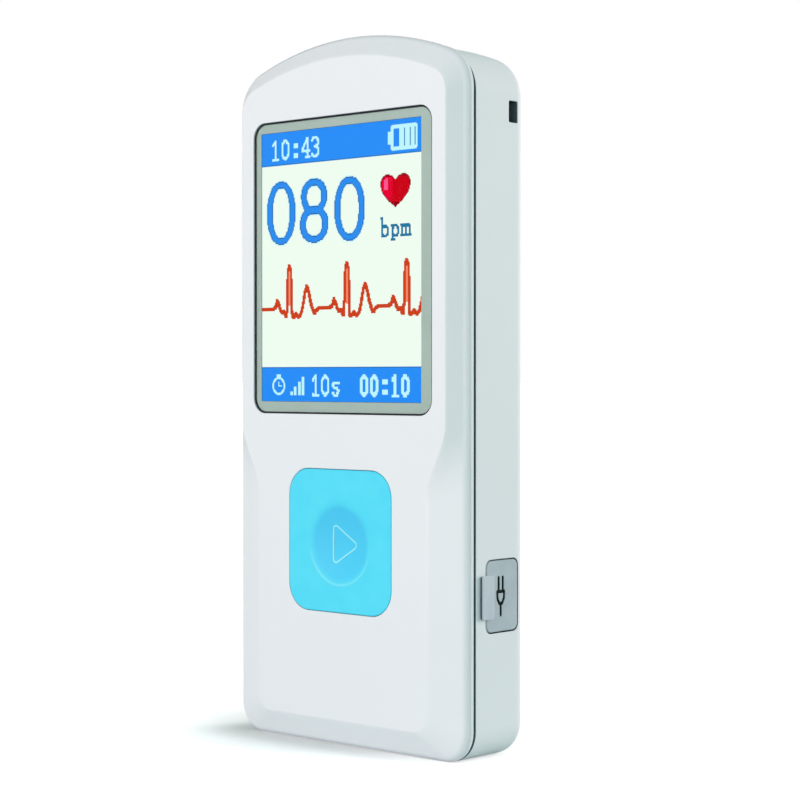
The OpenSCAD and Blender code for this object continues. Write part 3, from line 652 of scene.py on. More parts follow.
frontLook = {"rimSoft": 0.6, "edgeRadius": 1.6, "edgeTurn": 60, "crestSteps": 7, "wall": 1.5,
             "panelWall": 1.0, "hollowFoot": -4.65, "rabbetFoot": -4.95, "rabbetIn": 0.8, "open": -3.8,
             "rooted": 0.3, "collarGap": 0.3, "collarWall": 1.0, "collarEnd": -4.2, "rib": (5.0, 2.8, 0.7),
             "ribX": (-11, 11), "ribZ": (42.85, 91.85), "cutEnd": -5.6, "pocketFloor": -6.95,
             "pocketGap": 0.26, "pocketLip": 0.08, "buttonGap": 0.08, "buttonLip": 0.12}
caseScrews = [(12.0, 95.3), (-12.0, 95.3), (15.5, 6.5), (-15.5, 6.5)]
boardScrews = [(-15.8, 40.6), (15.8, 40.6), (0.0, 13.0)]
screwPosts = [  # places, then the post's radius and end, then its pilot hole's radius, start and end
    (caseScrews, 2.2, -2.0, 0.9, -5.4, -1.5), (boardScrews, 1.9, -1.2, 0.7, -4.6, -0.7)]


def lensOutline(grow):
    return roundRect(window["width"], window["height"], window["radius"], grow, (0, window["z"]), 10)


def holeOutline(grow=0.0):
    return roundRect(windowHole["width"], windowHole["height"], windowHole["radius"], grow, picture["at"])


def buttonOutline(grow):
    return roundRect(button["width"], button["height"], button["radius"], grow, (0, button["z"]), 12)


def makeFrontShell():
    s, y = frontLook, levels
    inset = s["edgeRadius"] * (1 - cos(radians(s["edgeTurn"])))
    edgeEnd = y["frontRim"] - s["edgeRadius"] * sin(radians(s["edgeTurn"]))
    foot, top = caseRing(inset), panelRing()
    crest = []  # the panel's edge is a curve between the flat face and the sloping flank
    for i in range(s["crestSteps"] + 1):
        t = i / s["crestSteps"]
        a, b, c = (1 - t) ** 2, 2 * t * (1 - t), t * t
        crest.append((1.06 * a + b + 0.84 * c, a + b + 0.84 * c))
    flank = crest + [(0.56, 0.56), (0.28, 0.28), (0.06, 0.06)]
    rings = [(mixed(edgeEnd, y["front"], up),
              [(mixed(p[0], q[0], t), mixed(p[1], q[1], t)) for p, q in zip(foot, top)]) for t, up in flank]
    for i in range(9):
        a = radians(s["edgeTurn"] * (1 - i / 8) if i < 8 else 4)
        rings.append((y["frontRim"] - s["edgeRadius"] * sin(a), caseRing(s["edgeRadius"] * (1 - cos(a)))))
    soft = s["rimSoft"]
    rings += [(y["frontRim"] - soft * fall, caseRing(soft * rise)) for fall, rise in quarter(4)]
    shell = solid("frontShell", rings)
    inside, seat = caseRing(s["wall"]), caseRing(s["rabbetIn"])
    hollow = solid("hollow", [(y["frontInside"], panelRing(s["panelWall"])), (s["hollowFoot"], inside),
                              (s["open"], inside)])
    carve(shell, [hollow, solid("rabbet", [(s["rabbetFoot"], seat), (s["open"], seat)])])
    inner = y["frontInside"] - s["rooted"]
    posts = [rod("post", at, radius, inner, end) for places, radius, end, *_ in screwPosts for at in places]
    reach = button["flange"] + s["collarGap"]
    guide, collarRing = buttonOutline(reach), buttonOutline(reach + s["collarWall"])
    collar = solid("collar", [(inner, collarRing), (s["collarEnd"], collarRing)])
    carve(collar, [solid("well", [(inner - 1, guide), (s["collarEnd"] + 1.2, guide)])])
    wide, deep, high = s["rib"]
    ribs = [block("rib", (x - wide / 2, inner, z), (x + wide / 2, inner + deep, z + high))
            for x in s["ribX"] for z in s["ribZ"]]
    carve(shell, posts + [collar] + ribs, "UNION")
    cuts = [flaredCutter("lensPocket", lambda g: lensOutline(g + s["pocketGap"]), s["pocketFloor"],
                         y["front"], s["pocketLip"]),
            solid("windowHole", [(y["front"] - 0.1, holeOutline()), (s["cutEnd"], holeOutline())]),
            flaredCutter("buttonHole", lambda g: buttonOutline(g + s["buttonGap"]), s["cutEnd"],
                         y["front"], s["buttonLip"])]
    cuts += [rod("pilot", at, radius, start, end) for places, _, _, radius, start, end in screwPosts
             for at in places]
    carve(shell, cuts)
    settle(shell, "frontShell", [shellWhite, partingShade], "housing", ("front_shell",))
    # painted shade on the rim faces inside the parting groove
    paintFaces(shell, 1, lambda at, way: abs(at.y - y["frontRim"]) < 0.01 and abs(way.y) > 0.99)


makeFrontShell()
print("front shell")


rearLook = {"rimSoft": 0.05, "backRadius": 2.5, "innerRadius": 1.5, "wall": 1.5, "hollowTop": -4.5,
            "tongueIn": 0.85, "tongue": 0.7, "tongueTop": -4.9, "tongueFoot": -3.0, "fence": (32.2, 37.2, 2),
            "fenceHole": (30.6, 35.6, 1.5), "fenceAt": (0, 60), "fenceTop": 4.3, "foot": 6.2,
            "column": (3.0, -2.0, 6.6), "blockSide": 21.75, "clearance": (1.15, -3.0, 7.0), "headRecess": 2.1,
            "recessFloor": 5.3, "screwLip": 0.2, "padFloor": 7.0, "padGap": 0.15, "padLip": 0.12,
            "studHole": (1.6, 5.0, 7.2)}
pads = {  # the solid's name: the piece's name, its middle, its width and its height
    "electrode_upper": ("upperPad", 0.0, 84.0, 24.0, 9.0),
    "electrode_left": ("leftPad", -10.5, 30.0, 12.0, 14.0),
    "electrode_right": ("rightPad", 10.5, 30.0, 12.0, 14.0)}
padRadius = 2.0


def portOutline(grow):
    return roundRect(port["width"], port["height"], port["radius"], grow, (port["y"], port["z"]), 8)


# The data socket's section, narrower towards the board
def socketOutline(grow):
    w, h = 1.3 + grow, 3.75 + grow
    half = [(w, h), (-w + 1.1, h), (-w, h - 0.9)]
    return [(1.1 + y, port["z"] + z) for y, z in half + [(y, -z) for y, z in reversed(half)]]


def eyeSideOutline(grow):
    return roundRect(eye["width"], eye["height"], 0.2, grow, (eye["y"], eye["z"]), 4)


def eyeBackOutline(grow):
    return roundRect(eye["width"], eye["height"], 0.2, grow, (eye["x"], eye["z"]), 4)


def makeRearShell():
    s, y, back = rearLook, levels, levels["shellBack"]
    rings = [(y["rearRim"] + s["rimSoft"] * rise, rearRing(s["rimSoft"] * fall)) for fall, rise in quarter(4)]
    rings.append((0.0, rearRing()))
    rings += [(back - s["backRadius"] * fall, rearRing(s["backRadius"] * rise)) for fall, rise in quarter(12)]
    shell = solid("rearShell", rings)
    hollow = [(s["hollowTop"], rearRing(s["wall"]))]
    hollow += [(y["backInside"] - s["innerRadius"] * fall, rearRing(s["wall"] + s["innerRadius"] * rise))
               for fall, rise in quarter(6)]
    carve(shell, [solid("hollow", hollow)])
    outside, inside = caseRing(s["tongueIn"]), caseRing(s["tongueIn"] + s["tongue"])
    tongue = solid("tongue", [(s["tongueTop"], caseRing(s["tongueIn"] + 0.1)),
                              (s["tongueTop"] + 0.1, outside), (s["tongueFoot"], outside)])
    carve(tongue, [solid("tongueHole", [(s["tongueTop"] - 0.6, inside), (s["tongueFoot"] + 0.5, inside)])])
    outside, inside = [roundRect(*s[key], 0, s["fenceAt"]) for key in ("fence", "fenceHole")]
    fence = solid("fence", [(s["fenceTop"], outside), (s["foot"], outside)])
    carve(fence, [solid("fenceHole", [(s["fenceTop"] - 0.5, inside), (s["foot"] + 0.5, inside)])])
    columns = [rod("column", at, *s["column"]) for at in caseScrews]
    w, h, t = eye["width"] / 2, eye["height"] / 2, eye["wall"]
    eyeBlock = block("eyeBlock", (eye["x"] - w - t, eye["y"] - w - t, eye["z"] - h - t),
                     (s["blockSide"], 6.6, eye["z"] + h + t))
    halfWidth, halfHeight = port["width"] / 2 + 1, port["height"] / 2 + 1
    portBlock = block("portBlock", (port["floor"], port["y"] - halfWidth, port["z"] - halfHeight),
                      (s["blockSide"], port["y"] + halfWidth, port["z"] + halfHeight))
    carve(shell, [tongue, fence, eyeBlock, portBlock] + columns, "UNION")
    socket = socketOutline(0.15)
    cuts = [flaredCutter("eyeSide", eyeSideOutline, eye["x"] - w, port["side"], eye["lip"], "x"),
            flaredCutter("eyeBack", eyeBackOutline, eye["y"] - w, back, eye["lip"]),
            flaredCutter("portPocket", lambda g: portOutline(g + port["gap"]), port["inner"] - 0.02,
                         port["side"], port["lip"], "x"),
            solid("socketHole", [(port["floor"] - 1, socket), (port["floor"] + 2, socket)], "x"),
            block("strapHole", (port["floor"] - 1, port["strapY"] - 0.5, port["z"] - 2.6),
                  (port["floor"] + 2, port["strapY"] + 0.5, port["z"] + 2.6))]
    for at in caseScrews:
        cuts += [rod("clearance", at, *s["clearance"]),
                 flaredCutter("headRecess", lambda g, at=at: circle(at, s["headRecess"] + g),
                              s["recessFloor"], back, s["screwLip"])]
    for _, x, z, wide, high in pads.values():
        def padOutline(grow, at=(x, z), size=(wide, high, padRadius)):
            return roundRect(*size, s["padGap"] + grow, at)
        cuts += [flaredCutter("padSeat", padOutline, s["padFloor"], back, s["padLip"]),
                 rod("studHole", (x, z), *s["studHole"])]
    carve(shell, cuts)
    settle(shell, "rearShell", [shellWhite, partingShade, openingShade], "housing",
           ("rear_shell",))
    rim = y["rearRim"]
    # painted shade on the rim and tongue faces inside the parting groove
    paintFaces(shell, 1, lambda at, way: at.y < rim + 0.01 and (way.y < -0.99 or at.y < rim - 0.1))
    # painted shade on the walls inside the lanyard eye and the port pocket
    inEye = [(eye["x"] - w - 0.05, 22.35), (eye["y"] - w - 0.05, 7.15),
             (eye["z"] - h - 0.05, eye["z"] + h + 0.05)]
    inPort = [(port["inner"] - 0.1, 22.35), (port["y"] - halfWidth + 0.5, port["y"] + halfWidth - 0.5),
              (port["z"] - halfHeight + 0.5, port["z"] + halfHeight - 0.5)]
    for space in (inEye, inPort):
        paintFaces(shell, 2, lambda at, way: all(low < c < high for (low, high), c in zip(space, at)))


makeRearShell()
print("rear shell")


inks = {  # colours of the lit picture
    "paper": (243, 254, 243), "header": (40, 142, 250), "headerEdge": (40, 120, 203),
    "digits": (44, 142, 242), "digitsEdge": (32, 100, 176), "halo": (213, 250, 255),
    "label": (193, 248, 255), "heart": (206, 0, 18), "heartLeft": (234, 0, 48),
    "heartShine": (255, 88, 148), "heartEdge": (148, 0, 18), "trace": (208, 62, 22),
    "traceFill": (250, 140, 105), "unit": (34, 118, 164),
}
inkNames = list(inks)
strokes = {  # each sign on a grid of 10 by 16 dots, as lines between points
    "0": [[(4, 0), (5, 0), (8, 3), (8, 12), (5, 15), (4, 15), (1, 12), (1, 3), (4, 0)]],
    "1": [[(2, 3), (5, 0), (5, 15)], [(2, 15), (8, 15)]],
    "3": [[(1, 2), (3, 0), (6, 0), (8, 2), (8, 5), (6, 7), (4, 7)],
          [(6, 7), (8, 9), (8, 13), (6, 15), (3, 15), (1, 13)]],
    "4": [[(7, 15), (7, 0), (1, 10), (9, 10)], [(5, 15), (9, 15)]],
    ":": [[(4, 4), (7, 4)], [(4, 6), (7, 6)], [(4, 12), (7, 12)], [(4, 14), (7, 14)]],
    "s": [[(8, 6), (6, 5), (3, 5), (1, 7), (3, 9), (6, 10), (8, 12), (6, 15), (3, 15), (1, 13)]],
    "b": [[(1, 0), (2, 0), (2, 14)], [(2, 8), (4, 6), (6, 6), (8, 8), (8, 12), (6, 14), (4, 14), (2, 12)]],
    "p": [[(1, 6), (2, 6), (2, 17)], [(1, 17), (4, 17)],
          [(2, 8), (4, 6), (6, 6), (8, 8), (8, 12), (6, 14), (4, 14), (2, 12)]],
    "m": [[(0, 6), (1, 6), (1, 14)], [(1, 7), (2, 6), (4, 6), (5, 7), (5, 14)],
          [(5, 7), (6, 6), (8, 6), (9, 7), (9, 14)], [(0, 14), (2, 14)], [(4, 14), (6, 14)],
          [(8, 14), (10, 14)]],
}


class Canvas:
    # the lit picture as rows of ink numbers, drawn from the top left
    def __init__(self, columns, rows):
        self.columns, self.rows = columns, rows
        self.dots = [[0] * columns for _ in range(rows)]

    def area(self, x0, y0, x1, y1, ink, inside=None):
        number = inkNames.index(ink)
        for y in range(max(0, round(y0)), min(self.rows, round(y1))):
            for x in range(max(0, round(x0)), min(self.columns, round(x1))):
                if inside is None or inside(x + 0.5, y + 0.5):
                    self.dots[y][x] = number

    def line(self, start, end, ink, wide=2, high=None):
        high = high or wide
        steps = int(max(abs(end[0] - start[0]), abs(end[1] - start[1]), 1)) * 2
        for i in range(steps + 1):
            x = round(mixed(start[0], end[0], i / steps))
            y = round(mixed(start[1], end[1], i / steps))
            self.area(x, y, x + wide, y + high, ink)

    def text(self, words, x, y, ink, cell=11.4, wide=2, narrow=1.0):
        for sign in words:
            for path in strokes[sign]:
                places = [(x + u * narrow, y + v) for u, v in path]
                for start, end in zip(places, places[1:]):
                    self.line(start, end, ink, wide, 2)
            x += cell

    def rim(self, ink, edge, halo):  # darkens the outermost dots of a sign and lights the paper beside them
        own, paper = inkNames.index(ink), 0
        before = [line[:] for line in self.dots]
        for y in range(1, self.rows - 1):
            for x in range(1, self.columns - 1):
                beside = (before[y - 1][x], before[y + 1][x], before[y][x - 1], before[y][x + 1])
                if before[y][x] == own and paper in beside:
                    self.dots[y][x] = inkNames.index(edge)
                elif before[y][x] == paper and own in beside:
                    self.dots[y][x] = inkNames.index(halo)


def oval(box, power=2.0):
    x0, y0, x1, y1 = box
    cx, cy, rx, ry = (x0 + x1) / 2, (y0 + y1) / 2, (x1 - x0) / 2, (y1 - y0) / 2
    return lambda x, y: abs((x - cx) / rx) ** power + abs((y - cy) / ry) ** power <= 1


def ovalRing(canvas, box, hole, ink, power=2.15):
    outer, inner = oval(box, power), oval(hole, power)
    canvas.area(*box, ink, lambda x, y: outer(x, y) and not inner(x, y))


def shrunk(box, side, cap):
    return box[0] + side, box[1] + cap, box[2] - side, box[3] - cap


def drawHeart(canvas):
    cx, cy, across, up = 149.0, 57.4, 12.9, 11.05

    def inHeart(x, y, size=1.0):
        u, v = (x - cx) / (across * size), (cy - y) / (up * size)
        return (u * u + v * v - 1) ** 3 - 2 * u * u * v ** 3 <= 0
    box = (132, 41, 166, 69)
    canvas.area(*box, "heartEdge", inHeart)
    canvas.area(*box, "heart", lambda x, y: inHeart(x, y, 0.92) and y < 64)
    canvas.area(*box, "heartLeft", lambda x, y: inHeart(x, y, 0.92) and x < 146 and y < 61)
    canvas.area(137, 45, 141, 54, "heartShine", lambda x, y: inHeart(x, y, 0.84))


# One beat as steps right and up from the foot of its spike, in dots
beatShape = [
    (-18.5, 0), (-16, 1.5), (-14.2, 6.5), (-12.5, 4), (-10.5, -1), (-8.5, -3.5), (-6, -2.2), (-4.6, -5.5),
    (-3.4, -6.5), (-2.8, 0), (-2.3, 20), (-1.2, 32), (0, 34.5), (1.2, 32), (2.3, 20), (2.8, 0), (3.2, -6.5),
    (5, -7), (7.5, -4.6), (10.8, -7), (13.5, -4.5), (15.5, 2), (18.2, 14), (20, 17.6), (21.6, 15),
    (24.5, 4), (27.5, -3), (29, -4.6), (31, -2), (33.5, -0.3)]


def drawTrace(canvas):
    base, beats = 144.3, (32, 96.7, 160.8)
    for beat in beats:  # a lighter tone between the two sides of each spike
        canvas.area(beat - 1, base - 31, beat + 1, base - 2, "traceFill")
    path = [(0, base)] + [(beat + x, base - z) for beat in beats for x, z in beatShape] + [(180, base)]
    for start, end in zip(path, path[1:]):
        canvas.line((start[0] - 1.5, start[1] - 1.5), (end[0] - 1.5, end[1] - 1.5), "trace", 3)
    for beat in beats:
        canvas.area(beat - 1, base - 30, beat + 1, base - 3, "traceFill")


def drawPicture():
    canvas = Canvas(picture["columns"], picture["rows"])
    wide = picture["columns"]
    canvas.area(0, 0, wide, 27, "header")
    canvas.area(0, 26, wide, 27, "headerEdge")
    canvas.area(0, 192, wide, 220, "header")
    canvas.area(0, 192, wide, 193, "headerEdge")
    canvas.text("10:43", 10.3, 6, "label")
    # battery sign: nub, frame, one empty cell and three full ones
    canvas.area(141, 9, 144, 19, "label")
    canvas.area(144, 4, 172, 24, "label", oval((144, 4, 172, 24), 9))
    canvas.area(147, 7, 170, 21, "header")
    for left, right in ((153, 158), (159, 164), (165, 169)):
        canvas.area(left, 7, right, 21, "label")
        canvas.area(right, 7, right + 1, 21, "headerEdge")
    # large digits: a ring for each nought and two for the eight
    for box, side, cap in (((5.7, 40, 39.1, 92), 7.0, 5.6), ((83, 40.7, 116.5, 92.1), 6.8, 5.8)):
        ovalRing(canvas, box, shrunk(box, side, cap), "digits")
    ovalRing(canvas, (45.4, 39.8, 75, 69), (52.2, 45.9, 68.4, 63.0), "digits")
    ovalRing(canvas, (44.1, 62, 76.4, 91.8), (51, 67.9, 69.4, 86.1), "digits")
    canvas.rim("digits", "digitsEdge", "halo")
    drawHeart(canvas)
    canvas.text("bpm", 132, 75.3, "unit", 11)
    drawTrace(canvas)
    # footer: a stopwatch, a rising signal, ten seconds and the time that has run
    ovalRing(canvas, (12, 200, 27, 215), (14, 202, 25, 213), "label", 2)
    canvas.area(17, 198, 22, 200, "label")
    canvas.line((19, 204), (19, 207), "label", 1)
    canvas.line((19, 207), (22, 207), "label", 1)
    for i in range(4):
        canvas.area(33 + 4.4 * i, 212 - 4 * i, 36 + 4.4 * i, 215, "label")
    canvas.text("10s", 55.9, 198.5, "label")
    canvas.text("00:10", 110.2, 198.5, "label", 10.9, 3, 0.85)
    return canvas.dots


# The lit face: one thin closed slab, whose front is cut along the lines where the colours change
def makePicture():
    dots = drawPicture()
    wide, high = picture["columns"], picture["rows"]
    rowCuts = [0] + [r for r in range(1, high) if dots[r] != dots[r - 1]] + [high]
    columnCuts = [0] + [c for c in range(1, wide) if any(line[c] != line[c - 1] for line in dots)] + [wide]
    pitch, face = picture["pitch"], picture["face"]
    across, down = len(columnCuts), len(rowCuts)
    points = [((pictureLeft + c * pitch) * mm, face * mm, (pictureTop - r * pitch) * mm)
              for r in rowCuts for c in columnCuts]
    faces, tones = [], []
    for j in range(down - 1):
        for i in range(across - 1):
            a = j * across + i
            faces.append((a, a + across, a + across + 1, a + 1))
            tones.append(dots[rowCuts[j]][columnCuts[i]])
    front = len(points)
    corners = [0, across - 1, (down - 1) * across, down * across - 1]
    points += [(points[c][0], (face + 0.03) * mm, points[c][2]) for c in corners]
    edges = [list(range(0, across)), list(range(across - 1, down * across, across)),
             list(range(down * across - 1, (down - 1) * across - 1, -1)),
             list(range((down - 1) * across, -1, -across))]
    order = [0, 1, 3, 2]
    for k, edge in enumerate(edges):
        faces.append(edge + [front + order[(k + 1) % 4], front + order[k]])
        tones.append(0)
    faces.append([front, front + 1, front + 3, front + 2])
    tones.append(0)
    mesh = bpy.data.meshes.new("litPicture")
    mesh.from_pydata(points, [], faces)
    mesh.polygons.foreach_set("material_index", tones)
    finishes = [litDots("dots_" + name, srgb(*inks[name])) for name in inkNames]
    settle(addObject("litPicture", mesh), "litPicture", finishes, "housing")
    mesh.polygons.foreach_set("material_index", tones)
    print("picture:", len(faces), "faces")


displayLook = {"glass": (36, 45.5, 0.4), "glassDrop": 0.9, "glassFront": -5.8, "glassBack": -4.5,
               "paneFront": -7.0, "paneIn": 0.2, "tapeFront": -7.28, "tapeBack": -6.96, "tapeGapShadeGrow": 0.24,
               "sheetSeat": -7.045}


def makeDisplay():
    s = displayLook
    glass = softPrism("glass", lambda g: roundRect(*s["glass"], g, (0, window["z"] - s["glassDrop"]), 3),
                      s["glassFront"], s["glassBack"], 0.1, 0.1)
    pane = softPrism("pane", lambda g: holeOutline(g - s["paneIn"]), s["paneFront"], s["glassFront"] + 0.3,
                     0.03)
    carve(glass, [pane], "UNION")
    settle(glass, "displayGlass", displayGlass, "housing", ("lcd_panel",))
    sheet = softPrism("sheet", lensOutline, window["face"], window["face"] + window["thick"], 0.06, 0.04)
    settle(sheet, "clearWindow", windowClear, "housing", ("display_lens",))
    # adhesive under the window; the black ring with which it also fills the foot of the gap round the window
    # is painted shade for that gap
    tape = softPrism("tape", lambda g: lensOutline(g + s["tapeGapShadeGrow"]), s["tapeFront"], s["tapeBack"], 0.03)
    seat, hole, ahead = lensOutline(0.02), holeOutline(), s["tapeFront"] - 0.32
    carve(tape, [solid("seat", [(ahead, seat), (s["sheetSeat"], seat)]),
                 solid("hole", [(ahead, hole), (s["tapeBack"] + 0.46, hole)])])
    settle(tape, "windowTape", foamBlack, "housing", ("lens_tape",))


makePicture()
makeDisplay()
print("display")


playSign = {"left": -1.6, "tip": 3.35, "low": 26.1, "high": 32.15, "tipZ": 29.12, "round": 0.5, "line": 0.28,
            "proud": 0.03}


def dishDepth(r):
    # a shallow spherical dish that runs into the flat face through a soft crease
    edge, depth = button["dishRadius"], button["dishDepth"]
    bowl = depth * (1 - (r / edge) ** 2)
    if r <= edge - 0.7:
        return bowl
    if r >= edge + 0.5:
        return 0.0
    t = (r - (edge - 0.7)) / 1.2
    start = depth * (1 - ((edge - 0.7) / edge) ** 2)
    slope = -2 * depth * (edge - 0.7) / edge ** 2 * 1.2
    return start * (1 + 2 * t) * (1 - t) ** 2 + slope * t * (1 - t) ** 2


# Rings of the cap at the same bearings: circles in the dish, rounded rectangles outside it
def capRing(radius=None, grow=0.0, count=144):
    if radius is not None:
        return [(radius * cos(2 * pi * i / count), button["dishZ"] + radius * sin(2 * pi * i / count))
                for i in range(count)]
    w, h, r = button["width"] / 2 + grow, button["height"] / 2 + grow, button["radius"] + grow
    ring = []
    for i in range(count):
        c, s = cos(2 * pi * i / count), sin(2 * pi * i / count)
        reach = min(w / max(abs(c), 1e-9), h / max(abs(s), 1e-9))
        x, z = abs(c) * reach, abs(s) * reach
        if x > w - r and z > h - r:  # in the corner: where the bearing meets the corner's circle
            cx, cz = w - r, h - r
            along = abs(c) * cx + abs(s) * cz
            reach = along + sqrt(max(0.0, along ** 2 - (cx * cx + cz * cz - r * r)))
        ring.append((c * reach, button["z"] + s * reach))
    return ring


# Satin cap: painted shade in the dish, deeper blue towards the dish's top, and a painted highlight along the
# dish's lower edge
def makeCapBlue():
    made, shader, place = newFinish("lightBlueCap")
    x, _, z = place.axes()
    slow, fine = place.noise(0.3, 3.0), place.noise(6.0, 3.0, 0.6)
    r = (x ** 2 + (z - button["dishZ"]) ** 2) ** 0.5 + slow * 0.3
    top = (slow * 0.6 + fine * 0.4).over(0.3, 0.7).paint(srgb(82, 224, 254), srgb(90, 230, 255))
    # painted shade: the dish's tone darkens towards its top
    dish = (z - button["dishZ"]).over(-6.0, 6.0).paint(srgb(78, 214, 253), srgb(76, 206, 249))
    # painted highlight: a pale line along the dish's lower edge
    line = r.over(5.7, 5.95) * (1 - r.over(6.0, 6.3)) * (button["dishZ"] - z).over(0.5, 3.5)
    cap = (1 - r.over(4.9, 6.1)).paint(top, dish)
    feed(shader, {"Base Color": (line * 0.4).paint(cap, srgb(150, 242, 255)), "Roughness": 0.46 + fine * 0.06,
                  "Specular IOR Level": 0.22, "Normal": fine.bump(0.004)})
    return made


buttonBlue = makeCapBlue()


def makeButton():
    b, face = button, levels["front"]
    dish = [0.1, 0.6, 1.2, 1.8, 2.4, 3.0, 3.6, 4.2, 4.7, 5.1, 5.35, 5.6, 5.85, 6.1, 6.3, 6.5]
    rings = [(face + dishDepth(r), capRing(r)) for r in dish] + [(face, capRing(8.4))]
    rings += [(face + b["soft"] * rise, capRing(None, -b["soft"] * fall)) for fall, rise in quarter(5)]
    wide = b["flange"]
    for depth, grow in ((0.0, 0.0), (0.001, wide - 0.1), (0.1, wide), (b["flangeThick"], wide)):
        rings.append((b["flangeY"] + depth, capRing(None, grow)))
    cap = solid("startCap", rings)
    well = solid("well", [(-5.8, capRing(None, -1.5)), (-4.5, capRing(None, -1.5))])
    carve(well, [rod("post", (0, b["z"]), 2.4, -6.5, -5.5)])
    carve(cap, [well])
    settle(cap, "startCap", buttonBlue, "button", ("start_button",), 50.0)


# The play sign: a thin rounded triangle that lies on the dish
def makePlaySign():
    s = playSign
    corners = [Vector((s["left"], s["low"])), Vector((s["tip"], s["tipZ"])), Vector((s["left"], s["high"]))]
    middle = []
    for k, corner in enumerate(corners):
        before, after = corners[k - 1], corners[(k + 1) % 3]
        inward, outward = (before - corner).normalized(), (after - corner).normalized()
        half = inward.angle(outward) / 2
        centre = corner + (inward + outward).normalized() * (s["round"] / sin(half))
        start, end = corner + inward * s["round"] / tan(half), corner + outward * s["round"] / tan(half)
        first = atan2(start.y - centre.y, start.x - centre.x)
        turn = (atan2(end.y - centre.y, end.x - centre.x) - first + pi) % (2 * pi) - pi
        for i in range(9):
            a = first + turn * i / 8
            middle.append((Vector((cos(a), sin(a))), centre))
    lines = []
    for reach, lift in ((-0.5, -0.06), (-0.42, s["proud"]), (0.42, s["proud"]), (0.5, -0.06)):
        ring = []
        for way, centre in middle:
            p = centre + way * (s["round"] + reach * s["line"])
            depth = dishDepth(hypot(p.x, p.y - button["dishZ"]))
            ring.append((p.x * mm, (levels["front"] + depth - lift) * mm, p.y * mm))
        lines.append(ring)
    size = len(middle)
    points = [p for ring in lines for p in ring]
    faces = [[k * size + i, k * size + (i + 1) % size, ((k + 1) % 4) * size + (i + 1) % size,
              ((k + 1) % 4) * size + i] for k in range(4) for i in range(size)]
    made = addObject("playSign", closedMesh("playSign", points, faces))
    settle(made, "playSign", markBlue, "button")


makeButton()
makePlaySign()
print("button")


grip = {"front": -3.12, "root": -1.7, "back": -0.42, "top": 23.0, "under": 22.6, "height": 6.1, "corner": 0.3,
        "nose": 0.14, "heel": 0.25, "soft": 0.05}
plugSign = {"depth": 0.3, "line": 0.46, "lines": [
    [(1.4, 20.1), (1.4, 21.6)],
    [(0.65, 23.3), (0.7, 22.4), (1.1, 21.7), (1.7, 21.7), (2.1, 22.4), (2.15, 23.3)],
    [(0.65, 23.35), (2.15, 23.35)], [(0.95, 23.4), (0.95, 25.3)], [(1.85, 23.4), (1.85, 25.3)]]}
strapLook = {"start": 19.1, "end": 21.28, "barEnd": 20.0, "bar": (1.6, 7.0), "web": (0.8, 5.0),
             "radius": 0.3, "steps": 24}


# Grey silicone: matt, with painted shade in the depth of the plug sign and under the grip's front edge
def makeCoverRubber():
    made, shader, place = newFinish("greySilicone")
    x, y, z = place.axes()
    fine, slow = place.noise(4.0, 4.0, 0.65), place.noise(0.3, 3.0)
    inWidth = abs(y - port["y"]).below(port["width"] / 2 - 0.3)
    onPlate = inWidth * abs(z - port["z"]).below(port["height"] / 2 - 0.3)
    # painted shade: near black in the plug sign's grooves
    deep = (port["side"] - 0.04 - x).over(0.0, 0.12) * onPlate * x.above(port["side"] - 0.36)
    # painted shade on the grip's front face, under its front edge
    under = (grip["front"] + 0.06 - y).over(0.0, 0.04) * (grip["top"] - 0.08 - x).over(0.0, 0.06)
    onTab = (x - port["side"] - 0.02).over(0.0, 0.06)
    plate = (fine * 0.4 + slow * 0.6).over(0.3, 0.7).paint(srgb(180, 191, 199), srgb(194, 204, 212))
    tone = onTab.paint(plate, slow.over(0.3, 0.7).paint(srgb(200, 207, 217), srgb(208, 214, 224)))
    shade = deep.paint(under.paint(tone, srgb(70, 90, 95)), srgb(12, 20, 24))
    feed(shader, {"Base Color": shade, "Roughness": 0.62 + fine * 0.12, "Normal": fine.bump(0.02)})
    return made


coverRubber = makeCoverRubber()


def gripBack(x):
    # the grip's back falls to the cover in a quarter curve
    rise = min(max((x - port["side"]) / (grip["top"] - port["side"]), 0.0), 1.0)
    return grip["back"] - grip["heel"] * (1 - sqrt(1 - rise ** 2))


def spanRing(y0, y1, z0, z1, corner):
    w, h = y1 - y0, z1 - z0
    return roundRect(w, h, min(corner, w / 2 - 0.01), 0.0, ((y0 + y1) / 2, (z0 + z1) / 2), 6)


def capsule(start, end, radius, steps=8):
    way = degrees(atan2(end[1] - start[1], end[0] - start[0]))
    return arc(end, radius, way - 90, way + 90, steps) + arc(start, radius, way + 90, way + 270, steps)


def makePortCover():
    g = grip
    plate = softPrism("plate", portOutline, port["inner"], port["side"], 0.05, 0.22, "x", 5)
    boss = softPrism("boss", lambda grow: socketOutline(grow - 0.65), 20.4, 21.6, 0.12, 0.0, "x")
    low, high = port["z"] - g["height"] / 2, port["z"] + g["height"] / 2
    rings = []
    for fall, rise in quarter(4):  # rounded under edge
        soft, x = g["soft"] * fall, g["under"] + g["soft"] * rise
        rings.append((x, spanRing(g["front"] + soft, gripBack(x), low + soft, high - soft, g["corner"])))
    for fall, rise in quarter(7):  # rounded nose and top
        soft, x = g["nose"] * rise, g["top"] - g["nose"] * fall
        rings.append((x, spanRing(g["front"] + soft, gripBack(x) - soft * 0.3, low + soft * 0.7,
                                  high - soft * 0.7, g["corner"])))
    tab = solid("tab", rings, "x")
    root = solid("root", [(x, spanRing(g["root"], gripBack(x), low, high, 0.3))
                          for x in (22.1, 22.5, 22.6, 22.7)], "x")
    carve(plate, [boss, root, tab], "UNION")
    cuts = []
    for path in plugSign["lines"]:
        for start, end in zip(path, path[1:]):
            cuts.append(flaredCutter(
                "groove", lambda grow, a=start, b=end: capsule(a, b, plugSign["line"] / 2 + grow),
                port["side"] - plugSign["depth"], port["side"], 0.06, "x", 3))
    carve(plate, cuts)
    settle(plate, "portCover", coverRubber, "port_cover", ("port_cover",), 40.0)


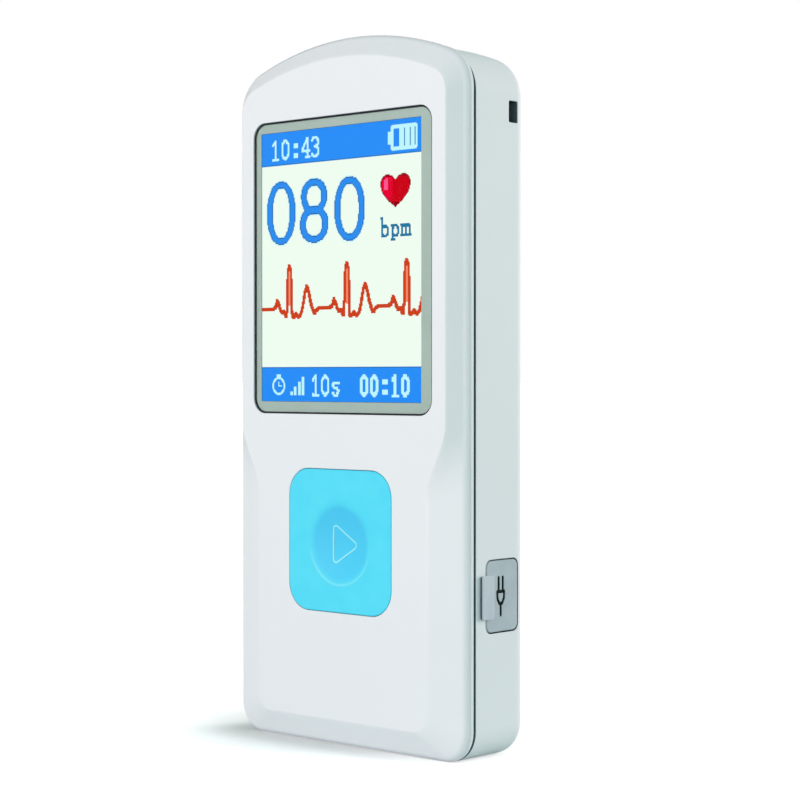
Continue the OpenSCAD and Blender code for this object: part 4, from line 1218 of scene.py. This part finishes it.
def makeStrap():
    s = strapLook
    rings = []
    for i in range(s["steps"] + 1):
        x = mixed(s["start"], s["end"], i / s["steps"])
        width, height = s["bar"] if x < s["barEnd"] else s["web"]
        rings.append((x, roundRect(width, height, s["radius"], 0.0, (port["strapY"], port["z"]), 3)))
    made = solid("coverStrap", rings, "x")
    settle(made, "coverStrap", coverRubber, None, ("port_strap",), 50.0)
    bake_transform(made)


makePortCover()
makeStrap()
print("port cover")


studLook = {"radius": 1.5, "top": 5.2, "foot": 7.1, "padSoft": 0.18}
screwLook = {"tip": (-4.7, 0.4), "shank": (-4.2, 1.0), "under": 5.3, "underRadius": 1.85, "radius": 1.9,
             "rim": 5.9, "dome": 0.7, "flat": 0.9, "crossFloor": 6.0, "cross": (1.0, 0.25), "flare": 1.15}


def makeElectrodes():
    stud = studLook
    for name, (pieceName, x, z, w, h) in pads.items():
        plate = softPrism(name, lambda g: roundRect(w, h, padRadius, g, (x, z), 10), rearLook["padFloor"],
                          levels["back"], 0.0, stud["padSoft"])
        carve(plate, [rod("stud", (x, z), stud["radius"], stud["top"], stud["foot"])], "UNION")
        settle(plate, pieceName, electrodeSteel, "housing", (name,))


def makeCaseScrews():
    s = screwLook
    whole = None
    for at in caseScrews:
        profile = [s["tip"], s["shank"], (s["under"], s["shank"][1]), (s["under"] + 0.0001, s["underRadius"]),
                   (s["under"] + 0.05, s["radius"])]
        for i in range(6):
            a = radians(90 * i / 5)
            profile.append((s["rim"] + s["dome"] * sin(a), s["flat"] + (s["radius"] - s["flat"]) * cos(a)))
        screw = solid("screw", [(level, circle(at, radius)) for level, radius in profile])
        cross = []
        for wide, high in (s["cross"], reversed(s["cross"])):
            rings = []
            for depth, flare in ((0.0, 1.0), (1.0, s["flare"])):
                w, h = wide * flare, high * flare
                ring = spanRing(at[0] - w, at[0] + w, at[1] - h, at[1] + h, 0.1)
                rings.append((s["crossFloor"] + depth, ring))
            cross.append(solid("cross", rings))
        carve(screw, cross)
        whole = carve(whole, [screw], "UNION") if whole else screw
    settle(whole, "caseScrews", screwSteel, "housing", ("housing_screws",))


makeElectrodes()
makeCaseScrews()
print("electrodes and screws")
